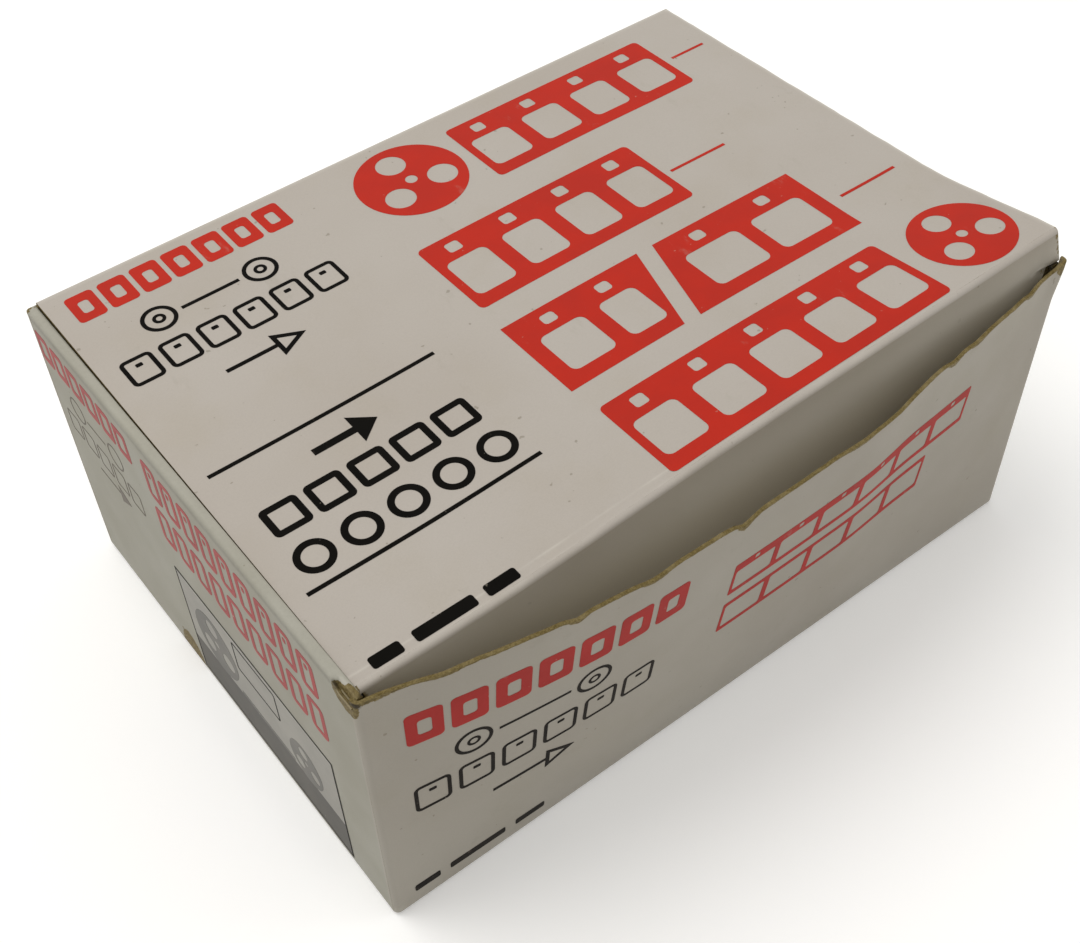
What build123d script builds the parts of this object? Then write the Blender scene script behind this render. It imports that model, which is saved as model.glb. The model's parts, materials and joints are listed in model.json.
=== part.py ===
from build123d import *
import math
import os

# A worn retail carton of folded board, closed, with a small motorised splicer for 8 mm film held
# in it by four folded board fitments. Millimetres, +Z up, origin at the centre of the base
# panel's underside, X along the carton, -Y at the front wall.

# ---------------------------------------------------------------- carton sizes
CARTON_HEIGHT = 89.0
BOARD = 1.4
FOLD_CLEARANCE = 0.3

LOCK_TAB_WIDTH = 24.0
LOCK_TAB_OFFSET = 36.0
LOCK_TAB_RECESS = 0.2
CORNER_TAB_LENGTH = 58.0
ROLL_EDGE_RADIUS = 0.9

# The front wall has sagged outwards: its top edge bows by FRONT_BULGE at most, which is left of
# the middle by the skew, and by a share of that at its two ends.
FRONT_BULGE = 14.4
BULGE_SKEW = 0.8
BULGE_END_SHARE = 0.1
BULGE_POINT_COUNT = 9

# The lid has warped: the height of its top face at its corners and at both ends of the line,
# LID_BEND from the front, where its right corner starts to curl up, over the carton's height.
# It lies inside the rolled strip of the left end and laps over the one on the right.
LID_BACK_LEFT = 0.0
LID_BACK_RIGHT = 2.2
LID_BEND_LEFT = -1.4
LID_BEND_RIGHT = 3.4
LID_FRONT_LEFT = -2.0
LID_FRONT_RIGHT = 8.5
LID_BEND = 36.0
LID_LEFT_GAP = 0.3
LID_RIGHT_LAP = 4.0
LID_FRONT_GAP = 0.8

# The tuck flap leans outwards as it goes down, behind the front wall that it has pushed out.
FLAP_DEPTH = 30.0
FLAP_LEAN = 3.0
FLAP_END_INSET = 0.5
FLAP_TAPER = 6.5
FLAP_CORNER = 9.0
FLAP_SHOULDER_RISE = 1.0

# ---------------------------------------------------------------- board fitments
INSERT_CARD = 1.0
INSERT_HEIGHT = 32.0
INSERT_CLEARANCE = 0.4
END_INSERT_WIDTH = 11.9
SIDE_INSERT_WIDTH = 19.7

# ---------------------------------------------------------------- splicer body sizes
HOUSING_LENGTH = 172.0
HOUSING_HEIGHT = 26.0
HOUSING_CORNER = 10.0
HOUSING_WALL = 2.2
HOUSING_ROOF = 2.4
HOUSING_EDGE = 1.8

FOOT_HEIGHT = 3.0
FOOT_RADIUS = 6.5
FOOT_SIDE_COUNT = 8
FOOT_INSET = 22.0

COVER_THICKNESS = 2.0
COVER_CLEARANCE = 0.15

POST_WIDTH = 7.0
POST_INSET = 9.5
SCREW_RADIUS = 1.25
SCREW_HEAD_RADIUS = 2.5
SCREW_HEAD_HEIGHT = 1.3
SCREW_SIDE_COUNT = 6
SCREW_DEPTH = 9.0
SEAT_CLEARANCE = 0.02

CELL_RADIUS = 7.25
CELL_LENGTH = 49.5
CELL_GAP = 1.5
BAY_CENTRE_Y = 14.0
CONTACT_THICKNESS = 0.5
RIB_THICKNESS = 1.8
DOOR_MARGIN = 2.5
DOOR_GROOVE = 0.6

DECK_MARGIN = 3.0
DECK_THICKNESS = 1.5
DECK_CORNER = 7.0

# ---------------------------------------------------------------- film path sizes
FILM_WIDTH = 8.0
FILM_SETBACK = 36.0
FILM_PITCH = 4.23
FILM_CLEARANCE = 0.1
RAIL_HEIGHT = 3.0
RAIL_BORDER = 2.8
RAIL_GROOVE = 0.3
RAIL_GATE = 2.5
REGISTER_PIN_WIDTH = 0.9
REGISTER_PIN_HEIGHT = 0.9
REGISTER_PIN_X = 6.0
PERFORATION_OFFSET = 2.6

CLAMP_START = 18.0
CLAMP_END_MARGIN = 2.0
CLAMP_HINGE_SETBACK = 22.0
CLAMP_HINGE_RISE = 6.0
CLAMP_PLATE = 3.0
CLAMP_FRONT = 30.0
CLAMP_LIP = 4.5
PAD_GAP = 0.1
PAD_BORDER = 1.0

EAR_THICKNESS = 3.0
EAR_RADIUS = 4.6
PIN_RADIUS = 1.5
KNUCKLE_RADIUS = 4.4
KNUCKLE_SIDE_COUNT = 8
RUNNING_CLEARANCE = 0.06
SIDE_CLEARANCE = 0.3

# ---------------------------------------------------------------- trimming knife sizes
KNIFE_INSET = 4.5
KNIFE_RAIL_GAP = 2.5
KNIFE_TABLE_LENGTH = 7.0
BLADE_THICKNESS = 1.2
BLADE_LENGTH = 20.0
BLADE_GAP = 0.1
KNIFE_LEVER_WIDTH = 9.5
KNIFE_LEVER_FRONT = 36.0
KNIFE_GRIP_HEIGHT = 9.0

# ---------------------------------------------------------------- carriage sizes
CARRIAGE_TRAVEL = 24.0
CARRIAGE_BASE_LENGTH = 26.0
CARRIAGE_HALF_WIDTH = 13.5
CARRIAGE_LIFT = 0.4
CARRIAGE_BASE_HEIGHT = 9.2
CARRIAGE_HEIGHT = 22.5
CARRIAGE_WALL = 2.0
CARRIAGE_NOSE_GUARD = 3.5
CARRIAGE_NOSE_HEIGHT = 17.0
CARRIAGE_SLOPE_LENGTH = 14.0
CARRIAGE_CORNER = 3.6
CARRIAGE_EDGE = 1.6

BAR_WIDTH = 4.0
BAR_SPREAD = 9.0
BAR_RISE = 3.2
BAR_BLOCK_LENGTH = 4.0
BAR_BLOCK_WIDTH = 6.0
BAR_BLOCK_GAP = 0.5
BAR_BLOCK_COVER = 1.3
BAR_RAIL_GAP = 0.7
BAR_BACK_MARGIN = 1.5

WHEEL_RADIUS = 11.0
WHEEL_THICKNESS = 2.0
WHEEL_HUB_RADIUS = 4.0
WHEEL_HUB_LENGTH = 6.0
WHEEL_HUB_SIDE_COUNT = 6
WHEEL_BITE = 0.15
WHEEL_REACH = 24.0
SHAFT_RADIUS = 1.5
BUSH_RADIUS = 3.0
BUSH_SIDE_COUNT = 6

MOTOR_RADIUS = 9.5
MOTOR_LENGTH = 15.0
MOTOR_SADDLE_WIDTH = 15.0
MOTOR_SADDLE_HEIGHT = 3.6
MOTOR_SHAFT_RADIUS = 1.0
MOTOR_SHAFT_DEPTH = 4.0

PULLEY_WIDTH = 4.8
WHEEL_PULLEY_RADIUS = 5.0
MOTOR_PULLEY_RADIUS = 3.0
PULLEY_SIDE_GAP = 0.6
BELT_WIDTH = 3.0
BELT_THICKNESS = 0.9
BELT_CLEARANCE = 0.2

GRIP_RADIUS = 7.0
GRIP_HEIGHT = 10.0
GRIP_NECK = 3.5
GRIP_SETBACK = 10.0
GRIP_SIDE_COUNT = 16

# ---------------------------------------------------------------- knob and button sizes
KNOB_INSET = 16.0
KNOB_SETBACK = 30.0
KNOB_RADIUS = 8.5
KNOB_HEIGHT = 8.0
KNOB_RIDGE_COUNT = 20
KNOB_RIDGE_DEPTH = 0.8
KNOB_SHAFT_RADIUS = 2.0
KNOB_SHAFT_LENGTH = 9.0
KNOB_GAP = 0.3

BUTTON_INSET = 20.0
BUTTON_SETBACK = 20.0
BUTTON_WIDTH = 10.0
BUTTON_HEIGHT = 4.5
BUTTON_TRAVEL = 2.0
BUTTON_STEM_WIDTH = 4.8
BUTTON_STEM_LENGTH = 8.0
SWITCH_SIZE = 13.0
SWITCH_HEIGHT = 9.0

# ---------------------------------------------------------------- places worked out from them
rail_half_width = FILM_WIDTH / 2 + RAIL_BORDER
slide_length = CARRIAGE_TRAVEL + CARRIAGE_BASE_LENGTH + 2 * BAR_BLOCK_GAP
bar_length = slide_length + 2 * BAR_BLOCK_LENGTH
film_to_back = rail_half_width + BAR_RAIL_GAP + bar_length + BAR_BACK_MARGIN
housing_depth = FILM_SETBACK + film_to_back

stack = 3 * BOARD
inner_half_length = HOUSING_LENGTH / 2 + INSERT_CLEARANCE + END_INSERT_WIDTH
inner_half_depth = housing_depth / 2 + INSERT_CLEARANCE + SIDE_INSERT_WIDTH
half_length = inner_half_length + stack
half_depth = inner_half_depth + BOARD

lid_left = -inner_half_length + LID_LEFT_GAP
lid_right = inner_half_length + LID_RIGHT_LAP
lid_length = lid_right - lid_left
crease_y = -half_depth + BOARD + LID_FRONT_GAP
flap_top = -BOARD - 2 * FOLD_CLEARANCE

housing_bottom = BOARD + FOOT_HEIGHT
housing_top = housing_bottom + HOUSING_HEIGHT
housing_ceiling = housing_top - HOUSING_ROOF
cover_top = housing_bottom + COVER_THICKNESS
deck_top = housing_top + DECK_THICKNESS
rail_top = deck_top + RAIL_HEIGHT
film_bed = rail_top - RAIL_GROOVE
film_y = FILM_SETBACK - housing_depth / 2
rail_low_y = film_y - rail_half_width
rail_high_y = film_y + rail_half_width

lever_x = HOUSING_LENGTH / 2 - KNIFE_INSET - KNIFE_LEVER_WIDTH
shear_x = lever_x - BLADE_THICKNESS - BLADE_GAP
blade_x = shear_x - BLADE_THICKNESS
table_x = blade_x - KNIFE_TABLE_LENGTH
rail_end = table_x - KNIFE_RAIL_GAP
clamp_end = rail_end - CLAMP_END_MARGIN

hinge_y = film_y + CLAMP_HINGE_SETBACK
hinge_z = deck_top + CLAMP_HINGE_RISE
clamp_plate_low = hinge_z + PAD_GAP
clamp_front_y = hinge_y - CLAMP_FRONT - RAIL_GROOVE

bar_low_y = rail_high_y + BAR_RAIL_GAP
bar_high_y = bar_low_y + bar_length
bar_z = deck_top + BAR_RISE
carriage_back = bar_high_y - BAR_BLOCK_LENGTH - BAR_BLOCK_GAP
carriage_base_front = carriage_back - CARRIAGE_BASE_LENGTH
carriage_low = deck_top + CARRIAGE_LIFT
carriage_base_top = carriage_low + CARRIAGE_BASE_HEIGHT
carriage_top = carriage_base_top + CARRIAGE_HEIGHT
carriage_inner = CARRIAGE_HALF_WIDTH - CARRIAGE_WALL
wheel_y = carriage_base_front - WHEEL_REACH
carriage_nose_y = wheel_y - WHEEL_RADIUS - CARRIAGE_NOSE_GUARD
shaft_z = film_bed - WHEEL_BITE + WHEEL_RADIUS
motor_y = (carriage_back + carriage_base_front) / 2
motor_z = carriage_base_top + MOTOR_RADIUS + FOLD_CLEARANCE
pulley_high_x = carriage_inner - PULLEY_SIDE_GAP
pulley_low_x = pulley_high_x - PULLEY_WIDTH
motor_high_x = pulley_low_x - PULLEY_SIDE_GAP
motor_low_x = motor_high_x - MOTOR_LENGTH
grip_y = wheel_y + GRIP_SETBACK

knob_x = KNOB_INSET - HOUSING_LENGTH / 2
knob_y = film_y + KNOB_SETBACK
button_x = BUTTON_INSET - HOUSING_LENGTH / 2
button_y = BUTTON_SETBACK - housing_depth / 2


def slab(x, y, z):
    """A box, given as low and high pairs along each axis."""
    size = [high - low for low, high in (x, y, z)]
    centre = [(low + high) / 2 for low, high in (x, y, z)]
    return Pos(*centre) * Box(*size)


def span(centre, width):
    """The low and high ends of a width about a centre."""
    return (centre - width / 2, centre + width / 2)


def rod_x(x, y, z, radius):
    """A round bar along X between two ends."""
    low, high = x
    return Pos(low, y, z) * Rot(0, 90, 0) * Cylinder(
        radius, high - low, align=(Align.CENTER, Align.CENTER, Align.MIN))


def prism_x(x, y, z, radius, flats):
    """A straight prism along X between two ends, with a number of flats round it."""
    low, high = x
    return Pos(low, y, z) * extrude(Plane.YZ * RegularPolygon(radius, flats), high - low)


def rod_up(x, y, z, radius):
    """A round bar along Z between two ends."""
    low, high = z
    return Pos(x, y, low) * Cylinder(
        radius, high - low, align=(Align.CENTER, Align.CENTER, Align.MIN))


def prism_up(x, y, z, radius, flats):
    """A straight prism along Z between two ends, with a number of flats round it."""
    low, high = z
    return Pos(x, y, low) * extrude(RegularPolygon(radius, flats), high - low)


def square_up(x, y, z, width):
    """A square bar along Z between two ends."""
    return slab(span(x, width), span(y, width), z)


def mirrored(shape):
    """The same piece on the other side of the carton's middle."""
    return mirror(shape, about=Plane.YZ)


def face_through(points):
    """A flat face with straight sides through points in space."""
    return Face(Wire.make_polygon([Vector(*point) for point in points], close=True))


# ---------------------------------------------------------------- carton panels
def base_panel():
    """The bottom, with a slot for each lock tab of the inner end walls."""
    edge_x = half_length - BOARD
    panel = slab((-edge_x, edge_x), (-inner_half_depth, inner_half_depth), (0, BOARD))
    slot_width = LOCK_TAB_WIDTH + 2 * FOLD_CLEARANCE
    for side in (-1, 1):
        for end in (-1, 1):
            slot = slab(
                span(side * (inner_half_length + BOARD / 2), BOARD + 2 * FOLD_CLEARANCE),
                span(end * LOCK_TAB_OFFSET, slot_width),
                (-BOARD, 2 * BOARD),
            )
            panel -= slot
    return panel


def bulge_depth(share):
    """How much of the bulge there is at a share of the front wall's length."""
    wave = math.sin(math.pi * share ** BULGE_SKEW)
    return BULGE_END_SHARE + (1 - BULGE_END_SHARE) * max(wave, 0)


def front_section(height, bulge):
    """The front wall's section at one height, bowed outwards by the bulge."""
    edge_x = half_length - BOARD
    outer = []
    for step in range(BULGE_POINT_COUNT):
        share = step / (BULGE_POINT_COUNT - 1)
        y = -half_depth - bulge * bulge_depth(share)
        outer.append(Vector((2 * share - 1) * edge_x, y, height))
    inner = [point + Vector(0, BOARD, 0) for point in outer]
    inner.reverse()
    return Face(Wire([
        Edge.make_spline(outer),
        Edge.make_line(outer[-1], inner[0]),
        Edge.make_spline(inner),
        Edge.make_line(inner[-1], outer[0]),
    ]))


def front_wall():
    """The front wall, straight along the base and bowed along its top edge."""
    edge_x = half_length - BOARD
    foot = slab((-edge_x, edge_x), (-half_depth, -inner_half_depth), (0, BOARD))
    bowed = loft(
        [front_section(BOARD, 0), front_section(CARTON_HEIGHT, FRONT_BULGE)], ruled=True)
    return foot + bowed


def lid_height(share, low, high):
    """The lid's top face along one of its long edges, at a share of its length."""
    return CARTON_HEIGHT + low + (high - low) * share


def back_wall():
    """The back wall, which follows the lid's hinge line just below it."""
    edge_x = half_length - BOARD
    under = BOARD + FOLD_CLEARANCE
    left_z = lid_height((-edge_x - lid_left) / lid_length, LID_BACK_LEFT, LID_BACK_RIGHT) - under
    right_z = lid_height((edge_x - lid_left) / lid_length, LID_BACK_LEFT, LID_BACK_RIGHT) - under
    outline = face_through([
        (-edge_x, inner_half_depth, 0),
        (edge_x, inner_half_depth, 0),
        (edge_x, inner_half_depth, right_z),
        (-edge_x, inner_half_depth, left_z),
    ])
    return extrude(outline, BOARD, dir=(0, 1, 0))


def end_outer():
    """The left end's outer layer, from the base up to the rolled strip."""
    return slab(
        (-half_length, -half_length + BOARD),
        (-half_depth, half_depth),
        (0, CARTON_HEIGHT - BOARD),
    )


def roll_strip():
    """The strip along the top of the left end, where the board rolls over into the carton."""
    strip = slab(
        (-half_length, -inner_half_length),
        (-inner_half_depth, inner_half_depth),
        (CARTON_HEIGHT - BOARD, CARTON_HEIGHT),
    )
    top_edges = strip.faces().sort_by(Axis.Z)[-1].edges().filter_by(Axis.Y)
    return fillet(top_edges, min(ROLL_EDGE_RADIUS, 0.8 * BOARD))


def end_inner():
    """The left end's inner layer, with two lock tabs that stand in the base's slots."""
    x = (-inner_half_length - BOARD, -inner_half_length)
    edge_y = inner_half_depth - FOLD_CLEARANCE
    wall = slab(x, (-edge_y, edge_y), (BOARD, CARTON_HEIGHT - BOARD))
    for end in (-1, 1):
        wall += slab(x, span(end * LOCK_TAB_OFFSET, LOCK_TAB_WIDTH), (LOCK_TAB_RECESS, BOARD))
    return wall


def corner_tabs():
    """Four tabs, folded from the long walls and held between the layers of the ends."""
    tabs = []
    for side in (-1, 1):
        for end in (-1, 1):
            near = end * inner_half_depth
            far = end * (inner_half_depth - CORNER_TAB_LENGTH)
            tabs.append(slab(
                span(side * (half_length - 1.5 * BOARD), BOARD),
                (min(near, far), max(near, far)),
                (BOARD, CARTON_HEIGHT - BOARD - FOLD_CLEARANCE),
            ))
    return Compound(tabs)


def lid_section(y, low, high):
    """The lid's section across its length, at one place along its depth."""
    left_z = lid_height(0, low, high)
    right_z = lid_height(1, low, high)
    return face_through([
        (lid_left, y, left_z - BOARD),
        (lid_right, y, right_z - BOARD),
        (lid_right, y, right_z),
        (lid_left, y, left_z),
    ])


def lid_panel():
    """The lid, twisted from the hinge line to the front crease, its front right corner raised."""
    back = lid_section(half_depth, LID_BACK_LEFT, LID_BACK_RIGHT)
    bend = lid_section(crease_y + LID_BEND, LID_BEND_LEFT, LID_BEND_RIGHT)
    front = lid_section(crease_y, LID_FRONT_LEFT, LID_FRONT_RIGHT)
    return loft([back, bend, front], ruled=True)


def flap_plane():
    """The tuck flap's outer face: X along the front crease, Y up the flap, Z outwards."""
    left = Vector(lid_left, crease_y, lid_height(0, LID_FRONT_LEFT, LID_FRONT_RIGHT))
    right = Vector(lid_right, crease_y, lid_height(1, LID_FRONT_LEFT, LID_FRONT_RIGHT))
    along = (right - left).normalized()
    lean = math.radians(FLAP_LEAN)
    outward = Vector(0, -math.cos(lean), math.sin(lean))
    outward = (outward - along * outward.dot(along)).normalized()
    return Plane(origin=left, x_dir=along, z_dir=outward)


def tuck_flap():
    """The flap along the lid's front crease, tapered and rounded where it goes in. Its right end
    has a square shoulder over the carton's end, and is narrower from there down."""
    length = math.dist((lid_left, LID_FRONT_LEFT), (lid_right, LID_FRONT_RIGHT))
    shoulder = FLAP_SHOULDER_RISE - LID_FRONT_RIGHT
    narrow_end = length - FLAP_END_INSET - LID_RIGHT_LAP
    outline = make_face(Polyline(
        (FLAP_END_INSET, flap_top),
        (FLAP_END_INSET + FLAP_TAPER, -FLAP_DEPTH),
        (narrow_end - FLAP_TAPER, -FLAP_DEPTH),
        (narrow_end, shoulder),
        (length - FLAP_END_INSET, shoulder),
        (length - FLAP_END_INSET, flap_top),
        close=True,
    ))
    lower_corners = outline.vertices().group_by(Axis.Y)[0]
    outline = fillet(lower_corners, FLAP_CORNER)
    return extrude(flap_plane() * outline, -BOARD)


# ---------------------------------------------------------------- board fitments
def folded_bar(x, y, along):
    """A bar of card folded like an upturned channel, open at both ends and below."""
    z = (BOARD, BOARD + INSERT_HEIGHT)
    hollow_z = (z[0] - INSERT_CARD, z[1] - INSERT_CARD)
    if along == "x":
        hollow_x = (x[0] - INSERT_CARD, x[1] + INSERT_CARD)
        hollow_y = (y[0] + INSERT_CARD, y[1] - INSERT_CARD)
    else:
        hollow_x = (x[0] + INSERT_CARD, x[1] - INSERT_CARD)
        hollow_y = (y[0] - INSERT_CARD, y[1] + INSERT_CARD)
    return slab(x, y, z) - slab(hollow_x, hollow_y, hollow_z)


def insert_back():
    """The fitment behind the splicer, the carton's whole inner length."""
    edge_x = inner_half_length - INSERT_CLEARANCE
    low_y = housing_depth / 2 + INSERT_CLEARANCE
    return folded_bar((-edge_x, edge_x), (low_y, inner_half_depth), "x")


def insert_left():
    """The fitment at the splicer's left, between the front and back ones."""
    edge_y = housing_depth / 2
    high_x = -HOUSING_LENGTH / 2 - INSERT_CLEARANCE
    return folded_bar((-inner_half_length, high_x), (-edge_y, edge_y), "y")


# ---------------------------------------------------------------- splicer housing
def corners(inset):
    """The housing's four corner places, a distance in from its sides."""
    x = HOUSING_LENGTH / 2 - inset
    y = housing_depth / 2 - inset
    return [(-x, -y), (x, -y), (-x, y), (x, y)]


def bay_half_length():
    """From the middle of the battery bay to the inner face of its end ribs."""
    return CELL_GAP / 2 + CELL_LENGTH + CONTACT_THICKNESS


def roof_holes(z):
    """The holes for the depth knob's shaft and the button's stem, between two heights."""
    holes = [
        rod_up(knob_x, knob_y, z, KNOB_SHAFT_RADIUS + RUNNING_CLEARANCE),
        square_up(button_x, button_y, z, BUTTON_STEM_WIDTH + 2 * RUNNING_CLEARANCE),
    ]
    return Compound(holes)


def base_housing():
    """The moulded housing: a shell open below, with screw posts and two battery ribs."""
    body = Pos(0, 0, housing_bottom) * extrude(
        RectangleRounded(HOUSING_LENGTH, housing_depth, HOUSING_CORNER), HOUSING_HEIGHT)
    body = chamfer(body.faces().sort_by(Axis.Z)[-1].edges(), HOUSING_EDGE)
    inner_length = HOUSING_LENGTH - 2 * HOUSING_WALL
    inner_depth = housing_depth - 2 * HOUSING_WALL
    cavity = extrude(
        RectangleRounded(inner_length, inner_depth, HOUSING_CORNER - HOUSING_WALL),
        HOUSING_HEIGHT - HOUSING_ROOF,
    )
    body -= Pos(0, 0, housing_bottom) * cavity
    for x, y in corners(POST_INSET):
        body += square_up(x, y, (cover_top, housing_top - HOUSING_ROOF / 2), POST_WIDTH)
        pilot_z = (cover_top, cover_top + SCREW_DEPTH + SIDE_CLEARANCE)
        body -= prism_up(x, y, pilot_z, 1.2 * SCREW_RADIUS, SCREW_SIDE_COUNT)
    rib_depth = 4 * CELL_RADIUS + CELL_GAP
    for side in (-1, 1):
        body += slab(
            span(side * (bay_half_length() + RIB_THICKNESS / 2), RIB_THICKNESS),
            span(BAY_CENTRE_Y, rib_depth),
            (cover_top, housing_ceiling),
        )
    return body - roof_holes((housing_ceiling, housing_top))


def door_size():
    """The battery door's length and depth."""
    length = 2 * (bay_half_length() - DOOR_MARGIN)
    depth = 4 * CELL_RADIUS + CELL_GAP - DOOR_MARGIN
    return length, depth


def bottom_cover():
    """The plate that closes the housing below, with its battery opening and screw holes."""
    inset = HOUSING_WALL + COVER_CLEARANCE
    plate = extrude(
        RectangleRounded(
            HOUSING_LENGTH - 2 * inset, housing_depth - 2 * inset, HOUSING_CORNER - inset),
        COVER_THICKNESS,
    )
    plate = Pos(0, 0, housing_bottom) * plate
    length, depth = door_size()
    plate -= slab(
        span(0, length + 2 * COVER_CLEARANCE),
        span(BAY_CENTRE_Y, depth + 2 * COVER_CLEARANCE),
        (housing_bottom, cover_top),
    )
    for x, y in corners(POST_INSET):
        plate -= rod_up(x, y, (housing_bottom, cover_top), SCREW_RADIUS + SEAT_CLEARANCE)
    return plate


def battery_door():
    """The snap-in battery door, with three finger grooves near its front edge."""
    length, depth = door_size()
    door = slab(span(0, length), span(BAY_CENTRE_Y, depth), (housing_bottom, cover_top))
    for row in range(3):
        y = BAY_CENTRE_Y - depth / 2 + DOOR_MARGIN * (row + 1)
        door -= slab(
            span(0, length / 4), span(y, DOOR_GROOVE),
            (housing_bottom, housing_bottom + DOOR_GROOVE),
        )
    return door


def battery_cells():
    """Four round cells in two rows, end to end in pairs."""
    cells = []
    for side in (-1, 1):
        for row in (-1, 1):
            cells.append(rod_x(
                span(side * (CELL_GAP + CELL_LENGTH) / 2, CELL_LENGTH),
                BAY_CENTRE_Y + row * (CELL_RADIUS + CELL_GAP / 2),
                cover_top + CELL_RADIUS,
                CELL_RADIUS,
            ))
    return Compound(cells)


def battery_contacts():
    """The sprung plates at the ends of the battery bay, one against each cell."""
    plates = []
    z = cover_top + CELL_RADIUS
    for side in (-1, 1):
        for row in (-1, 1):
            plates.append(slab(
                span(side * (bay_half_length() - CONTACT_THICKNESS / 2), CONTACT_THICKNESS),
                span(BAY_CENTRE_Y + row * (CELL_RADIUS + CELL_GAP / 2), 1.5 * CELL_RADIUS),
                span(z, 1.5 * CELL_RADIUS),
            ))
    return Compound(plates)


def cover_screws():
    """Four six-sided screws through the bottom cover into the housing's posts."""
    screws = []
    for x, y in corners(POST_INSET):
        head_z = (housing_bottom - SCREW_HEAD_HEIGHT, housing_bottom)
        head = prism_up(x, y, head_z, SCREW_HEAD_RADIUS, SCREW_SIDE_COUNT)
        shank = rod_up(x, y, (housing_bottom, cover_top + SCREW_DEPTH), SCREW_RADIUS)
        screws.append(head + shank)
    return Compound(screws)


def rubber_feet():
    """Four eight-sided feet under the bottom cover."""
    return Compound([
        prism_up(x, y, (BOARD, housing_bottom), FOOT_RADIUS, FOOT_SIDE_COUNT)
        for x, y in corners(FOOT_INSET)
    ])


def deck_plate():
    """The metal plate on the housing that carries the film path, with its holes."""
    plate = Pos(0, 0, housing_top) * extrude(
        RectangleRounded(
            HOUSING_LENGTH - 2 * DECK_MARGIN, housing_depth - 2 * DECK_MARGIN, DECK_CORNER),
        DECK_THICKNESS,
    )
    return plate - roof_holes((housing_top, deck_top))


def switch_block():
    """The push switch under the deck, with a well for the button's stem."""
    block = square_up(
        button_x, button_y, (housing_ceiling - SWITCH_HEIGHT, housing_ceiling), SWITCH_SIZE)
    well_low = deck_top - BUTTON_STEM_LENGTH - BUTTON_TRAVEL
    well_width = BUTTON_STEM_WIDTH + 2 * RUNNING_CLEARANCE
    return block - square_up(button_x, button_y, (well_low, housing_ceiling), well_width)


# ---------------------------------------------------------------- film path
def film_rail():
    """The right film rail: a block with a shallow channel for the film and register pins."""
    x = (RAIL_GATE, rail_end)
    rail = slab(x, (rail_low_y, rail_high_y), (deck_top, rail_top))
    rail -= slab(x, span(film_y, FILM_WIDTH + FILM_CLEARANCE), (film_bed, rail_top))
    pin_y = film_y + PERFORATION_OFFSET
    for step in range(2):
        pin_x = REGISTER_PIN_X + step * FILM_PITCH
        rail += square_up(
            pin_x, pin_y, (film_bed, film_bed + REGISTER_PIN_HEIGHT), REGISTER_PIN_WIDTH)
    return rail


def hinge_ears(x_low, x_high):
    """Two upright ears on the deck, with cut corners over the hinge pin they hold."""
    ears = []
    for low in (x_low, x_high - EAR_THICKNESS):
        x = (low, low + EAR_THICKNESS)
        ear = slab(x, span(hinge_y, 2 * EAR_RADIUS), (deck_top, hinge_z + EAR_RADIUS))
        upper_edges = ear.faces().sort_by(Axis.Z)[-1].edges().filter_by(Axis.X)
        ear = chamfer(upper_edges, EAR_RADIUS / 2)
        ear -= rod_x(x, hinge_y, hinge_z, PIN_RADIUS + SEAT_CLEARANCE)
        ears.append(ear)
    return Compound(ears)


def hinge_pin(x_low, x_high):
    """The pin through a pair of ears, flush with their outer faces."""
    return rod_x((x_low, x_high), hinge_y, hinge_z, PIN_RADIUS)


def hinged_plate(x_low, x_high, front_y):
    """A lever plate that reaches forwards from a knuckle between two ears."""
    knuckle_x = (x_low + EAR_THICKNESS + SIDE_CLEARANCE, x_high - EAR_THICKNESS - SIDE_CLEARANCE)
    plate_z = (clamp_plate_low, clamp_plate_low + CLAMP_PLATE)
    ear_front = hinge_y - EAR_RADIUS - 2 * SIDE_CLEARANCE
    plate = slab((x_low, x_high), (front_y, ear_front), plate_z)
    front_edges = plate.faces().sort_by(Axis.Y)[0].edges().filter_by(Axis.Z)
    plate = chamfer(front_edges, CLAMP_PLATE / 2)
    plate += slab(knuckle_x, (ear_front, hinge_y), plate_z)
    plate += prism_x(knuckle_x, hinge_y, hinge_z, KNUCKLE_RADIUS, KNUCKLE_SIDE_COUNT)
    return plate - rod_x(knuckle_x, hinge_y, hinge_z, PIN_RADIUS + RUNNING_CLEARANCE)


def clamp_arm():
    """The right clamp arm, with an upturned finger lip along its front edge."""
    arm = hinged_plate(CLAMP_START, clamp_end, clamp_front_y)
    lip = slab(
        (CLAMP_START + CLAMP_PLATE, clamp_end - CLAMP_PLATE),
        (clamp_front_y, clamp_front_y + CLAMP_PLATE),
        (clamp_plate_low, clamp_plate_low + CLAMP_PLATE + CLAMP_LIP),
    )
    upper_edges = lip.faces().sort_by(Axis.Z)[-1].edges().filter_by(Axis.X)
    return arm + chamfer(upper_edges, CLAMP_PLATE / 3)


def pressure_pad():
    """The rubber pad under the right clamp arm, over the film channel."""
    return slab(
        (CLAMP_START + PAD_BORDER, clamp_end - PAD_BORDER),
        span(film_y, FILM_WIDTH + PAD_BORDER),
        (rail_top + PAD_GAP, clamp_plate_low),
    )


# ---------------------------------------------------------------- trimming knife
def knife_table():
    """The short film table beside the knife, level with the rails."""
    x = (table_x, blade_x)
    table = slab(x, (rail_low_y, rail_high_y), (deck_top, rail_top))
    return table - slab(x, span(film_y, FILM_WIDTH + FILM_CLEARANCE), (film_bed, rail_top))


def lower_blade():
    """The fixed blade, flush with the film bed."""
    return slab((blade_x, shear_x), (rail_low_y, rail_high_y), (deck_top, film_bed))


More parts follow.
